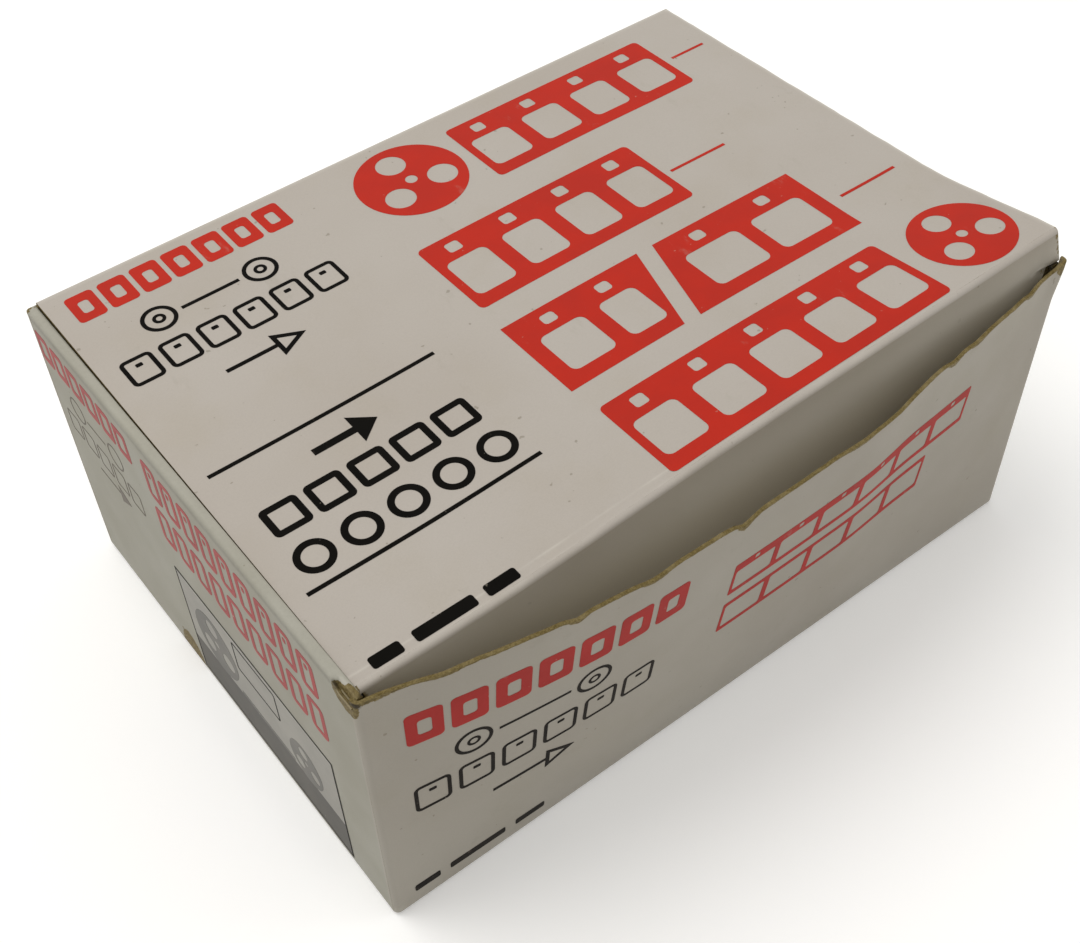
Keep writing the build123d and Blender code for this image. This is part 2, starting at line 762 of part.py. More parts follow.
def knife_lever():
    """The trimming lever, with a raised grip at its front end."""
    x_high = lever_x + KNIFE_LEVER_WIDTH
    front_y = hinge_y - KNIFE_LEVER_FRONT
    lever = hinged_plate(lever_x, x_high, front_y)
    grip = slab(
        (lever_x, x_high),
        (front_y, front_y + KNIFE_LEVER_WIDTH),
        (clamp_plate_low, clamp_plate_low + KNIFE_GRIP_HEIGHT),
    )
    return lever + chamfer(grip.edges().filter_by(Axis.Z), CLAMP_PLATE / 2)


def upper_blade():
    """The moving blade on the lever's left side, which slopes down to its cutting edge."""
    low_y, high_y = span(film_y, BLADE_LENGTH)
    top = clamp_plate_low + CLAMP_PLATE
    outline = face_through([
        (shear_x + BLADE_GAP, low_y, top),
        (shear_x + BLADE_GAP, low_y, rail_top),
        (shear_x + BLADE_GAP, high_y, film_bed - RAIL_GROOVE),
        (shear_x + BLADE_GAP, high_y, top),
    ])
    return extrude(outline, BLADE_THICKNESS, dir=(1, 0, 0))


# ---------------------------------------------------------------- carriage
def bar_blocks():
    """Four blocks on the deck that hold the slide bars' ends."""
    blocks = []
    top = bar_z + BAR_WIDTH / 2 + BAR_BLOCK_COVER
    for x in (-BAR_SPREAD, BAR_SPREAD):
        for y in ((bar_low_y, bar_low_y + BAR_BLOCK_LENGTH),
                  (bar_high_y - BAR_BLOCK_LENGTH, bar_high_y)):
            block = slab(span(x, BAR_BLOCK_WIDTH), y, (deck_top, top))
            blocks.append(block - slide_bar(x, y, SEAT_CLEARANCE))
    return Compound(blocks)


def slide_bar(x, y, clearance=0):
    """A square bar along Y between two ends, larger all round by a clearance."""
    width = BAR_WIDTH + 2 * clearance
    return slab(span(x, width), y, span(bar_z, width))


def slide_bars():
    """The two bars that the carriage slides on."""
    return Compound([slide_bar(x, (bar_low_y, bar_high_y)) for x in (-BAR_SPREAD, BAR_SPREAD)])


def carriage_base():
    """The sliding block on the bars, with the motor's saddle on top."""
    y = (carriage_base_front, carriage_back)
    block = slab(
        (-CARRIAGE_HALF_WIDTH, CARRIAGE_HALF_WIDTH), y, (carriage_low, carriage_base_top))
    block += slab(
        (motor_low_x, motor_high_x),
        span(motor_y, MOTOR_SADDLE_WIDTH),
        (carriage_base_top, carriage_base_top + MOTOR_SADDLE_HEIGHT),
    )
    block -= rod_x((motor_low_x, motor_high_x), motor_y, motor_z, MOTOR_RADIUS + SEAT_CLEARANCE)
    for x in (-BAR_SPREAD, BAR_SPREAD):
        block -= slide_bar(x, y, RUNNING_CLEARANCE)
    return block


def carriage_outline(inset):
    """The carriage housing's side view, drawn in by an inset, with a sloping nose."""
    back = carriage_back - inset
    top = carriage_top - inset
    nose = carriage_nose_y + inset
    shoulder = carriage_base_top + CARRIAGE_NOSE_HEIGHT - inset
    return Plane.YZ * make_face(Polyline(
        (back, carriage_base_top),
        (back, top - CARRIAGE_CORNER),
        (back - CARRIAGE_CORNER, top),
        (carriage_nose_y + CARRIAGE_SLOPE_LENGTH, top),
        (nose, shoulder),
        (nose, carriage_base_top),
        close=True,
    ))


def carriage_housing():
    """The carriage's cover, open below, with holes for the wheel shaft's bushes."""
    body = extrude(carriage_outline(0), CARRIAGE_HALF_WIDTH, both=True)
    rims = body.faces().filter_by(Axis.X).edges()
    above = carriage_base_top + SEAT_CLEARANCE
    body = chamfer(rims.filter_by(lambda edge: edge.center().Z > above), CARRIAGE_EDGE)
    body -= extrude(carriage_outline(CARRIAGE_WALL), carriage_inner, both=True)
    through = (-CARRIAGE_HALF_WIDTH, CARRIAGE_HALF_WIDTH)
    return body - prism_x(through, wheel_y, shaft_z, BUSH_RADIUS + SEAT_CLEARANCE, BUSH_SIDE_COUNT)


def shaft_bushes():
    """Two six-sided bushes in the carriage housing's sides, round the wheel shaft."""
    bushes = []
    for side in (-1, 1):
        x = span(side * (carriage_inner + CARRIAGE_WALL / 2), CARRIAGE_WALL)
        bush = prism_x(x, wheel_y, shaft_z, BUSH_RADIUS, BUSH_SIDE_COUNT)
        bushes.append(bush - rod_x(x, wheel_y, shaft_z, SHAFT_RADIUS + RUNNING_CLEARANCE))
    return Compound(bushes)


def wheel_shaft():
    """The grinding wheel's shaft, from bush to bush."""
    half = carriage_inner + CARRIAGE_WALL - SIDE_CLEARANCE
    return rod_x((-half, half), wheel_y, shaft_z, SHAFT_RADIUS)


def grinding_wheel():
    """The thin abrasive wheel, clamped between the flats of its hub."""
    disc = rod_x(span(0, WHEEL_THICKNESS), wheel_y, shaft_z, WHEEL_RADIUS)
    disc += prism_x(span(0, WHEEL_HUB_LENGTH), wheel_y, shaft_z, WHEEL_HUB_RADIUS, WHEEL_HUB_SIDE_COUNT)
    bore = rod_x(span(0, WHEEL_HUB_LENGTH), wheel_y, shaft_z, SHAFT_RADIUS + SEAT_CLEARANCE)
    return disc - bore


def wheel_pulley():
    """The driven pulley on the wheel shaft."""
    x = (pulley_low_x, pulley_high_x)
    body = rod_x(x, wheel_y, shaft_z, WHEEL_PULLEY_RADIUS)
    return body - rod_x(x, wheel_y, shaft_z, SHAFT_RADIUS + SEAT_CLEARANCE)


def motor_pulley():
    """The small pulley, in one piece with the motor's shaft."""
    body = rod_x((pulley_low_x, pulley_high_x), motor_y, motor_z, MOTOR_PULLEY_RADIUS)
    return body + rod_x(
        (motor_high_x - MOTOR_SHAFT_DEPTH, pulley_low_x), motor_y, motor_z, MOTOR_SHAFT_RADIUS)


def motor():
    """The small round motor, with a bearing hole for its shaft."""
    can = rod_x((motor_low_x, motor_high_x), motor_y, motor_z, MOTOR_RADIUS)
    well_low = motor_high_x - MOTOR_SHAFT_DEPTH - SIDE_CLEARANCE
    return can - rod_x(
        (well_low, motor_high_x), motor_y, motor_z, MOTOR_SHAFT_RADIUS + RUNNING_CLEARANCE)


def belt_loop(offset):
    """The belt's path round both pulleys, as a face across its width."""
    rims = (Pos(wheel_y, shaft_z) * Circle(WHEEL_PULLEY_RADIUS + offset)).edges()
    rims += (Pos(motor_y, motor_z) * Circle(MOTOR_PULLEY_RADIUS + offset)).edges()
    return Plane.YZ * make_hull(rims)


def drive_belt():
    """The flat belt from the motor's pulley to the wheel's."""
    low = (pulley_low_x + pulley_high_x - BELT_WIDTH) / 2
    outer = extrude(belt_loop(BELT_CLEARANCE + BELT_THICKNESS), BELT_WIDTH)
    return Pos(low, 0, 0) * (outer - extrude(belt_loop(BELT_CLEARANCE), BELT_WIDTH))


def grip_knob():
    """The faceted grip on the carriage, by which it is pulled over the film."""
    low = carriage_top + GRIP_HEIGHT / 3
    top = carriage_top + GRIP_HEIGHT
    head = prism_up(0, grip_y, (low, top), GRIP_RADIUS, GRIP_SIDE_COUNT)
    head = chamfer(head.faces().sort_by(Axis.Z)[-1].edges(), GRIP_HEIGHT / 6)
    return head + rod_up(0, grip_y, (carriage_top, low), GRIP_NECK)


# ---------------------------------------------------------------- knob and button
def depth_knob():
    """The knurled knob that sets the grinding depth, on its shaft through the deck."""
    low = deck_top + KNOB_GAP
    knurl = []
    for step in range(2 * KNOB_RIDGE_COUNT):
        radius = KNOB_RADIUS - (step % 2) * KNOB_RIDGE_DEPTH
        turn = math.pi * step / KNOB_RIDGE_COUNT
        knurl.append((radius * math.cos(turn), radius * math.sin(turn)))
    knob = Pos(knob_x, knob_y, low) * extrude(
        make_face(Polyline(*knurl, close=True)), KNOB_HEIGHT)
    return knob + rod_up(knob_x, knob_y, (deck_top - KNOB_SHAFT_LENGTH, low), KNOB_SHAFT_RADIUS)


def power_button():
    """The motor's push button, its square cap held off the deck by its travel."""
    low = deck_top + BUTTON_TRAVEL + KNOB_GAP
    cap = square_up(button_x, button_y, (low, low + BUTTON_HEIGHT), BUTTON_WIDTH)
    cap = chamfer(cap.faces().sort_by(Axis.Z)[-1].edges(), BUTTON_HEIGHT / 4)
    return cap + square_up(
        button_x, button_y, (deck_top - BUTTON_STEM_LENGTH, low), BUTTON_STEM_WIDTH)


# ---------------------------------------------------------------- the nodes
def all_nodes():
    """Every piece by its node's name."""
    clamp_x = (CLAMP_START, clamp_end)
    knife_x = (lever_x, lever_x + KNIFE_LEVER_WIDTH)
    return {
        "base_panel": base_panel(),
        "front_wall": front_wall(),
        "back_wall": back_wall(),
        "end_outer_left": end_outer(),
        "end_outer_right": mirrored(end_outer()),
        "roll_strip_left": roll_strip(),
        "roll_strip_right": mirrored(roll_strip()),
        "end_inner_left": end_inner(),
        "end_inner_right": mirrored(end_inner()),
        "corner_tabs": corner_tabs(),
        "insert_back": insert_back(),
        "insert_front": mirror(insert_back(), about=Plane.XZ),
        "insert_left": insert_left(),
        "insert_right": mirrored(insert_left()),
        "lid_panel": lid_panel(),
        "tuck_flap": tuck_flap(),
        "base_housing": base_housing(),
        "bottom_cover": bottom_cover(),
        "cover_screws": cover_screws(),
        "rubber_feet": rubber_feet(),
        "battery_door": battery_door(),
        "battery_cells": battery_cells(),
        "battery_contacts": battery_contacts(),
        "switch_block": switch_block(),
        "deck_plate": deck_plate(),
        "film_rail_right": film_rail(),
        "film_rail_left": mirrored(film_rail()),
        "clamp_bracket_right": hinge_ears(*clamp_x),
        "clamp_bracket_left": mirrored(hinge_ears(*clamp_x)),
        "clamp_pin_right": hinge_pin(*clamp_x),
        "clamp_pin_left": mirrored(hinge_pin(*clamp_x)),
        "clamp_arm_right": clamp_arm(),
        "clamp_arm_left": mirrored(clamp_arm()),
        "pressure_pad_right": pressure_pad(),
        "pressure_pad_left": mirrored(pressure_pad()),
        "knife_table": knife_table(),
        "lower_blade": lower_blade(),
        "knife_bracket": hinge_ears(*knife_x),
        "knife_pin": hinge_pin(*knife_x),
        "knife_lever": knife_lever(),
        "upper_blade": upper_blade(),
        "bar_blocks": bar_blocks(),
        "slide_bars": slide_bars(),
        "carriage_base": carriage_base(),
        "carriage_housing": carriage_housing(),
        "motor": motor(),
        "motor_pulley": motor_pulley(),
        "drive_belt": drive_belt(),
        "shaft_bushes": shaft_bushes(),
        "wheel_shaft": wheel_shaft(),
        "wheel_pulley": wheel_pulley(),
        "grinding_wheel": grinding_wheel(),
        "grip_knob": grip_knob(),
        "depth_knob": depth_knob(),
        "power_button": power_button(),
    }


os.makedirs("parts", exist_ok=True)
for name, shape in all_nodes().items():
    export_step(shape, f"parts/{name}.step")
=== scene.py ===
import bmesh
import bpy
import json
import math
import numpy as np
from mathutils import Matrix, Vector


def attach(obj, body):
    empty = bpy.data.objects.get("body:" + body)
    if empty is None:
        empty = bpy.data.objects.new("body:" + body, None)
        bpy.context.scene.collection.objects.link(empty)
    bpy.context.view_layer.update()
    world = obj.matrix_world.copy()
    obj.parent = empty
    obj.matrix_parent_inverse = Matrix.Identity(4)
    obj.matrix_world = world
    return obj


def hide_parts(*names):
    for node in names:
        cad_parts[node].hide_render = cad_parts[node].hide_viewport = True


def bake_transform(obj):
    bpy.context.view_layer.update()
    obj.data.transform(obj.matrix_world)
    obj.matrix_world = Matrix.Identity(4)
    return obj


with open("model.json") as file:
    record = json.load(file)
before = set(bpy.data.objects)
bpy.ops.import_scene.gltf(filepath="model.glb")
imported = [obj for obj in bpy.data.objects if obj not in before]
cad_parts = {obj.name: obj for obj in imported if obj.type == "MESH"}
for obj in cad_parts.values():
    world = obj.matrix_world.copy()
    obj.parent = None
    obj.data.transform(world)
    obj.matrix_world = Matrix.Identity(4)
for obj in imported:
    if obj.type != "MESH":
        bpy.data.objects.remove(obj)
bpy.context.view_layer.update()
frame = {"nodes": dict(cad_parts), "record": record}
MM = 0.001


def new_object(name, data):
    obj = bpy.data.objects.new(name, data)
    bpy.context.scene.collection.objects.link(obj)
    return obj


# ------------ camera, light and floor
LENS, SENSOR = 51.03, 36.0
CAMERA_PLACE = (-0.168118, -0.230757, 0.331388)
CAMERA_TURN = (42.592355, 1.809128, -37.548635)
FLOOR_REACH, FLOOR_Z = 4.0, -0.0003


def make_camera():
    data = bpy.data.cameras.new("camera")
    data.lens = LENS
    data.sensor_width = SENSOR
    data.sensor_fit = "HORIZONTAL"
    data.clip_start = 0.01
    camera = new_object("camera", data)
    camera.location = CAMERA_PLACE
    camera.rotation_euler = [math.radians(angle) for angle in CAMERA_TURN]
    bpy.context.scene.camera = camera


def add_node(tree, kind, **values):
    """A new node with the given values on its inputs."""
    node = tree.nodes.new(kind)
    for name, value in values.items():
        node.inputs[name.replace("_", " ")].default_value = value
    return node


def blank_material(name):
    material = bpy.data.materials.new(name)
    material.use_nodes = True
    material.node_tree.nodes.clear()
    return material


def split_rays(tree, lit, seen, output):
    """One shader for the rays that light the object, and another for the rays that show the
    white background: seen, mirrored or through glass."""
    path = tree.nodes.new("ShaderNodeLightPath")
    shown = path.outputs["Is Camera Ray"]
    for name in ("Is Glossy Ray", "Is Transmission Ray"):
        either = tree.nodes.new("ShaderNodeMath")
        either.operation = "MAXIMUM"
        tree.links.new(shown, either.inputs[0])
        tree.links.new(path.outputs[name], either.inputs[1])
        shown = either.outputs[0]
    mix = tree.nodes.new("ShaderNodeMixShader")
    tree.links.new(shown, mix.inputs[0])
    tree.links.new(lit.outputs[0], mix.inputs[1])
    tree.links.new(seen.outputs[0], mix.inputs[2])
    tree.links.new(mix.outputs[0], output.inputs["Surface"])


def make_world():
    world = bpy.data.worlds.new("studio")
    bpy.context.scene.world = world
    world.use_nodes = True
    tree = world.node_tree
    tree.nodes.clear()
    lit = add_node(tree, "ShaderNodeBackground", Color=(1.0, 0.99, 0.965, 1), Strength=0.6)
    seen = add_node(tree, "ShaderNodeBackground", Color=(1, 1, 1, 1), Strength=1.0)
    split_rays(tree, lit, seen, tree.nodes.new("ShaderNodeOutputWorld"))


def area_light(name, place, target, size, watts, colour):
    data = bpy.data.lights.new(name, "AREA")
    data.shape = "DISK"
    data.size = size
    data.energy = watts
    data.color = colour
    lamp = new_object(name, data)
    lamp.location = place
    aim = Vector(target) - Vector(place)
    lamp.rotation_euler = aim.to_track_quat("-Z", "Y").to_euler()


def make_floor():
    mesh = bpy.data.meshes.new("floor")
    corners = [(x * FLOOR_REACH, y * FLOOR_REACH, FLOOR_Z)
               for x, y in ((-1, -1), (1, -1), (1, 1), (-1, 1))]
    mesh.from_pydata(corners, [], [(0, 1, 2, 3)])
    floor = new_object("floor", mesh)
    material = blank_material("floor_pale")
    tree = material.node_tree
    plain = add_node(tree, "ShaderNodeBsdfDiffuse", Color=(0.72, 0.71, 0.69, 1))
    white = add_node(tree, "ShaderNodeBsdfDiffuse", Color=(0.97, 0.97, 0.97, 1))
    glow = add_node(tree, "ShaderNodeEmission", Color=(1, 1, 1, 1), Strength=0.16)
    bright = tree.nodes.new("ShaderNodeAddShader")
    tree.links.new(white.outputs[0], bright.inputs[0])
    tree.links.new(glow.outputs[0], bright.inputs[1])
    split_rays(tree, plain, bright, tree.nodes.new("ShaderNodeOutputMaterial"))
    mesh.materials.append(material)


make_camera()
make_world()
area_light("key", (-0.35, 0.35, 1.25), (0, 0, 0.05), 0.9, 7.5, (1.0, 0.985, 0.95))
area_light("fill", (1.15, -0.75, 0.32), (0, -0.07, 0.05), 0.6, 3.0, (1.0, 0.985, 0.96))
make_floor()
scene = bpy.context.scene
scene.view_settings.view_transform = "Standard"


# ------------ repeatable noise
LATTICE = 256


def lattice(seed):
    return np.random.default_rng(seed).random((LATTICE, LATTICE))


def noise2(x, y, seed):
    """Smooth noise from 0 to 1 with features about one unit wide."""
    table = lattice(seed)
    x, y = np.asarray(x, float), np.asarray(y, float)
    ix, iy = np.floor(x).astype(int), np.floor(y).astype(int)
    fx, fy = x - ix, y - iy
    fx, fy = fx * fx * (3 - 2 * fx), fy * fy * (3 - 2 * fy)

    def at(a, b):
        return table[(ix + a) % LATTICE, (iy + b) % LATTICE]

    low = at(0, 0) * (1 - fx) + at(1, 0) * fx
    high = at(0, 1) * (1 - fx) + at(1, 1) * fx
    return low * (1 - fy) + high * fy


def rough(x, y, seed, octaves=3):
    """Layered noise about 0, from about -0.5 to 0.5."""
    total, weight = 0, 0
    for octave in range(octaves):
        share = 0.5 ** octave
        total = total + share * (noise2(x * 2 ** octave, y * 2 ** octave, seed + octave) - 0.5)
        weight += share
    return total / weight


def held(value):
    """A value held between 0 and 1."""
    return np.clip(value, 0, 1)


def eased(value, low, high):
    share = held((value - low) / (high - low))
    return share * share * (3 - 2 * share)


def bump(value, centre, width):
    return np.exp(-((value - centre) / width) ** 2)


# ------------ materials
# The colour sockets of Blender's mix node, by their index.
MIX_A, MIX_B, MIX_RESULT = 6, 7, 2


def rgb(red, green, blue):
    """A colour from 0 to 255 in sRGB, as linear RGBA."""
    linear = []
    for value in (red, green, blue):
        share = value / 255
        linear.append(share / 12.92 if share <= 0.04045 else ((share + 0.055) / 1.055) ** 2.4)
    return (*linear, 1.0)


class Shader:
    """Builds one procedural material. A colour is a socket, or 0 to 255 in sRGB."""

    def __init__(self, name):
        self.material = blank_material(name)
        self.tree = self.material.node_tree
        output = self.node("ShaderNodeOutputMaterial")
        self.surface = self.node("ShaderNodeBsdfPrincipled")
        self.link(self.surface.outputs[0], output.inputs["Surface"])
        self.place = self.node("ShaderNodeTexCoord").outputs["Object"]

    def node(self, kind, **values):
        return add_node(self.tree, kind, **values)

    def link(self, a, b):
        self.tree.links.new(a, b)

    def put(self, socket, value):
        if isinstance(value, bpy.types.NodeSocket):
            self.link(value, socket)
        else:
            socket.default_value = value

    def set(self, **values):
        for name, value in values.items():
            self.put(self.surface.inputs[name.replace("_", " ")], value)

    def noise(self, scale, detail=3.0, roughness=0.5, stretch=None, seed=0.0):
        """Noise whose features are about 1 / scale metres wide."""
        texture = self.node("ShaderNodeTexNoise", Scale=scale, Detail=detail, Roughness=roughness)
        if stretch or seed:
            mapping = self.node("ShaderNodeMapping", Scale=stretch or (1, 1, 1),
                                Location=(seed, seed * 1.7, seed * 0.6))
            self.link(self.place, mapping.inputs["Vector"])
            self.link(mapping.outputs[0], texture.inputs["Vector"])
        else:
            self.link(self.place, texture.inputs["Vector"])
        return texture.outputs["Fac"]

    def ramp(self, value, low, high, to_low=0.0, to_high=1.0):
        node = self.node("ShaderNodeMapRange", From_Min=low, From_Max=high, To_Min=to_low,
                         To_Max=to_high)
        node.interpolation_type = "SMOOTHSTEP"
        self.put(node.inputs["Value"], value)
        return node.outputs[0]

    def math(self, operation, a, b):
        node = self.node("ShaderNodeMath")
        node.operation = operation
        self.put(node.inputs[0], a)
        self.put(node.inputs[1], b)
        return node.outputs[0]

    def mix(self, share, a, b):
        node = self.node("ShaderNodeMix")
        node.data_type = "RGBA"
        self.put(node.inputs[0], share)
        for index, colour in ((MIX_A, a), (MIX_B, b)):
            self.put(node.inputs[index], rgb(*colour) if isinstance(colour, tuple) else colour)
        return node.outputs[MIX_RESULT]

    def patched(self, colour, tone, texture, low, high, strength=1.0):
        """A colour with patches of another tone where a texture is high."""
        return self.mix(self.ramp(texture, low, high, 0.0, strength), colour, tone)

    def attribute(self, name):
        node = self.node("ShaderNodeAttribute")
        node.attribute_name = name
        return node.outputs["Fac"]

    def relief(self, height, strength, distance):
        node = self.node("ShaderNodeBump", Strength=strength, Distance=distance)
        self.link(height, node.inputs["Height"])
        self.link(node.outputs[0], self.surface.inputs["Normal"])


CORE_LIGHT = (136, 121, 80)
CORE_DARK = (86, 72, 39)


def board_liner(name, pale, shade, stain, gloss):
    """Coated white board: mottled, with fibres, scuffs, and a raw core where it has worn."""
    make = Shader(name)
    colour = make.patched(pale, shade, make.noise(16, 3), 0.3, 0.7)
    colour = make.patched(colour, stain, make.noise(38, 4, 0.6, seed=3), 0.45, 0.8, 0.35)
    fibre = make.noise(2600, 2, 0.6)
    colour = make.patched(colour, (120, 116, 105), fibre, 0.35, 0.7, 0.06)
    specks = make.noise(420, 2, seed=7)
    colour = make.patched(colour, (120, 112, 96), specks, 0.735, 0.765, 0.5)
    smears = make.noise(90, 5, 0.7, stretch=(1, 0.35, 1), seed=11)
    colour = make.patched(colour, (150, 144, 130), smears, 0.6, 0.72, 0.22)
    # The pale attribute read here lightens the board. It holds rubbed and cracked liner, and painted
    # light on the front flap and along the lid's crease.
    colour = make.patched(colour, (218, 214, 204), make.attribute("pale"), 0.0, 1.0, 0.75)
    ragged = make.noise(900, 6, 0.65, seed=5)
    # The attribute read here darkens the board towards deep brown. It holds real dirt, and painted
    # shade in the worn corner's hollows, in a band under each end's rolled top and at the right end's
    # front top corner.
    dirt_and_shade_amount = make.math("ADD", make.attribute("grime"), make.math("MULTIPLY", ragged, 0.35))
    dirt_and_shade_share = make.ramp(dirt_and_shade_amount, 0.25, 1.15, 0.0, 0.93)
    colour = make.mix(dirt_and_shade_share, colour, (46, 38, 22))
    worn = make.math("ADD", make.attribute("wear"), make.math("MULTIPLY", ragged, 0.9))
    bare = make.ramp(worn, 0.93, 1.02)
    fluff = make.ramp(make.noise(1500, 5, 0.7, seed=2), 0.3, 0.7)
    core = make.mix(fluff, CORE_DARK, CORE_LIGHT)
    core = make.patched(core, (178, 164, 128), make.attribute("pale"), 0.3, 1.0)
    core = make.mix(dirt_and_shade_share, core, (40, 31, 14))
    colour = make.mix(bare, colour, core)
    roughness = make.ramp(make.noise(60, 3, seed=4), 0.3, 0.7, 0.52, 0.66)
    make.set(Base_Color=colour, Roughness=roughness, Specular_IOR_Level=gloss)
    waves = make.noise(45, 2, seed=9)
    grain = make.math("MULTIPLY", fibre, 0.05)
    torn = make.math("MULTIPLY", make.math("SUBTRACT", fluff, 1.6), bare)
    height = make.math("ADD", make.math("ADD", waves, grain), make.math("MULTIPLY", torn, 0.25))
    make.relief(height, 0.35, 0.0006)
    return make.material


def raw_board(name, light, dark):
    """Unlined grey-brown board, fibrous and matt."""
    make = Shader(name)
    colour = make.patched(light, dark, make.noise(14, 3), 0.2, 0.8)
    flecks = make.noise(2400, 4, 0.6, stretch=(1, 0.45, 0.7))
    colour = make.patched(colour, (96, 84, 60), flecks, 0.5, 0.72, 0.42)
    colour = make.mix(make.ramp(flecks, 0.28, 0.45, 0.35, 0.0), colour, (194, 183, 153))
    rare = make.noise(600, 3, 0.6, stretch=(1, 0.3, 0.6), seed=4)
    colour = make.patched(colour, (92, 78, 52), rare, 0.7, 0.76, 0.5)
    make.set(Base_Color=colour, Roughness=0.9, Specular_IOR_Level=0.15)
    make.relief(flecks, 0.4, 0.0001)
    return make.material


def core_edge(name):
    """The frayed core of the board at its cut edges: layered brown fibres."""
    make = Shader(name)
    layers = make.noise(2200, 5, 0.75)
    colour = make.patched(CORE_DARK, CORE_LIGHT, layers, 0.3, 0.7)
    colour = make.patched(colour, (152, 138, 102), make.noise(260, 4, seed=6), 0.45, 0.7, 0.45)
    make.set(Base_Color=colour, Roughness=0.95, Specular_IOR_Level=0.1)
    make.relief(layers, 0.8, 0.0004)
    return make.material


def ink(name, colour, deep, rub=0.5, gloss=0.3):
    """Printed ink, a little uneven, rubbed through to the board in specks."""
    make = Shader(name)
    tone = make.patched(colour, deep, make.noise(70, 4, 0.6), 0.3, 0.7)
    specks = make.noise(520, 3, 0.6, seed=13)
    tone = make.patched(tone, (186, 176, 160), specks, 0.71, 0.76, rub)
    smears = make.noise(110, 5, 0.75, stretch=(1, 0.4, 1), seed=8)
    tone = make.patched(tone, (176, 160, 146), smears, 0.62, 0.74, rub * 0.5)
    make.set(Base_Color=tone, Roughness=0.55, Specular_IOR_Level=gloss)
    make.relief(make.noise(2600, 2, 0.6), 0.06, 0.0002)
    return make.material


def plastic(name, colour, deep, roughness, grain=0.12):
    make = Shader(name)
    colour = make.patched(colour, deep, make.noise(40, 4, 0.6), 0.3, 0.7)
    dust = make.noise(700, 4, 0.7, seed=3)
    make.set(Base_Color=make.patched(colour, (150, 146, 138), dust, 0.58, 0.72, 0.25))
    make.set(Roughness=make.ramp(make.noise(120, 3), 0.3, 0.7, roughness - 0.07, roughness + 0.08))
    make.relief(make.noise(3000, 2, 0.5), grain, 0.0002)
    return make.material


def metal(name, colour, deep, roughness, stretch=(1, 1, 1), metallic=1.0, grain=0.03):
    make = Shader(name)
    lines = make.noise(900, 3, 0.6, stretch=stretch)
    tone = make.patched(colour, deep, lines, 0.3, 0.7)
    spots = make.noise(240, 5, 0.7, seed=9)
    make.set(Base_Color=make.patched(tone, deep, spots, 0.6, 0.75, 0.4), Metallic=metallic)
    smears = make.noise(70, 4, 0.6, seed=5)
    make.set(Roughness=make.ramp(smears, 0.3, 0.7, roughness - 0.03, roughness + 0.05))
    make.relief(lines, grain, 0.0001)
    return make.material


# One coated board in four copies, toned face by face. The walls', the end's and the flap's copies are
# painted darker than the lid's as shade, and the end's copy is a little greener for the light on that
# face.
LINER = board_liner("printed_board", (182, 175, 167), (177, 169, 160), (172, 163, 148), 0.22)
WALL_LINER = board_liner("printed_board_wall", (173, 168, 158), (167, 161, 151), (162, 156, 140), 0.14)
END_LINER = board_liner("printed_board_end", (170, 168, 157), (164, 161, 149), (158, 154, 138), 0.14)
FLAP_LINER = board_liner("printed_board_flap", (167, 160, 148), (161, 153, 141), (157, 149, 132), 0.14)
RAW = raw_board("plain_board", (158, 147, 120), (149, 137, 109))
CARD = raw_board("insert_card", (178, 164, 132), (168, 153, 120))
CORE = core_edge("board_core")
RED = ink("ink_red", (186, 38, 20), (177, 37, 22), 0.35, 0.15)
# The front wall's red is the lid's red painted darker and duller, as shade.
WALL_RED = ink("ink_red_wall", (170, 46, 42), (158, 44, 40), 0.5, 0.12)
END_RED = ink("ink_red_end", (172, 74, 74), (160, 72, 72), 0.5, 0.15)
BLACK = ink("ink_black", (4, 3, 1), (10, 8, 5), 0.3, 0.04)
WALL_BLACK = ink("ink_black_wall", (19, 15, 11), (28, 23, 18), 0.4, 0.06)
END_BLACK = ink("ink_black_end", (104, 98, 88), (116, 108, 98), 0.5, 0.15)
GREY_LIGHT = ink("ink_grey_light", (164, 161, 153), (152, 149, 142), 0.4)
GREY_MID = ink("ink_grey_mid", (118, 115, 109), (104, 102, 97), 0.4)
GREY_DARK = ink("ink_grey_dark", (86, 82, 75), (74, 71, 65), 0.4)

PLASTICS = {
    "housing_plastic": ((198, 196, 189), (188, 186, 178), 0.5),
    "dark_plastic": ((42, 42, 44), (34, 34, 36), 0.45),
    "rubber": ((34, 33, 33), (26, 26, 26), 0.85, 0.3),
    "cell_jacket": ((48, 62, 66), (38, 50, 54), 0.35, 0.03),
    "red_plastic": ((190, 40, 32), (170, 34, 28), 0.3, 0.04),
}
METALS = {
    "deck_metal": ((205, 205, 203), (178, 178, 176), 0.36, (1, 12, 1)),
    "polished_steel": ((214, 214, 214), (186, 187, 189), 0.2),
    "blued_steel": ((150, 154, 160), (120, 124, 132), 0.25, (1, 1, 9)),
    "screw_steel": ((196, 194, 188), (160, 156, 148), 0.32),
    "abrasive": ((112, 108, 104), (70, 67, 64), 0.6, (1, 1, 1), 0.5, 0.5),
    "brass": ((214, 180, 106), (186, 150, 80), 0.28),
}
SLOT_MATERIALS = {"printed_board": LINER, "plain_board": RAW, "insert_card": CARD}
SLOT_MATERIALS.update({name: plastic(name, *look) for name, look in PLASTICS.items()})
SLOT_MATERIALS.update({name: metal(name, *look) for name, look in METALS.items()})


# ------------ board sheets
FACE, BACK, RIM = 0, 1, 2


def unit_rows(vectors):
    return vectors / np.maximum(np.linalg.norm(vectors, axis=-1, keepdims=True), 1e-9)


def closed_piece(name, mesh):
    """An object from a closed mesh, its faces turned outwards, sharp where a cut rim starts."""
    bm = bmesh.new()
    bm.from_mesh(mesh)
    bmesh.ops.recalc_face_normals(bm, faces=bm.faces)
    for edge in bm.edges:
        kinds = {face.material_index for face in edge.link_faces}
        if len(kinds) > 1 and RIM in kinds:
            edge.smooth = False
    bm.to_mesh(mesh)
    bm.free()
    return new_object(name, mesh)


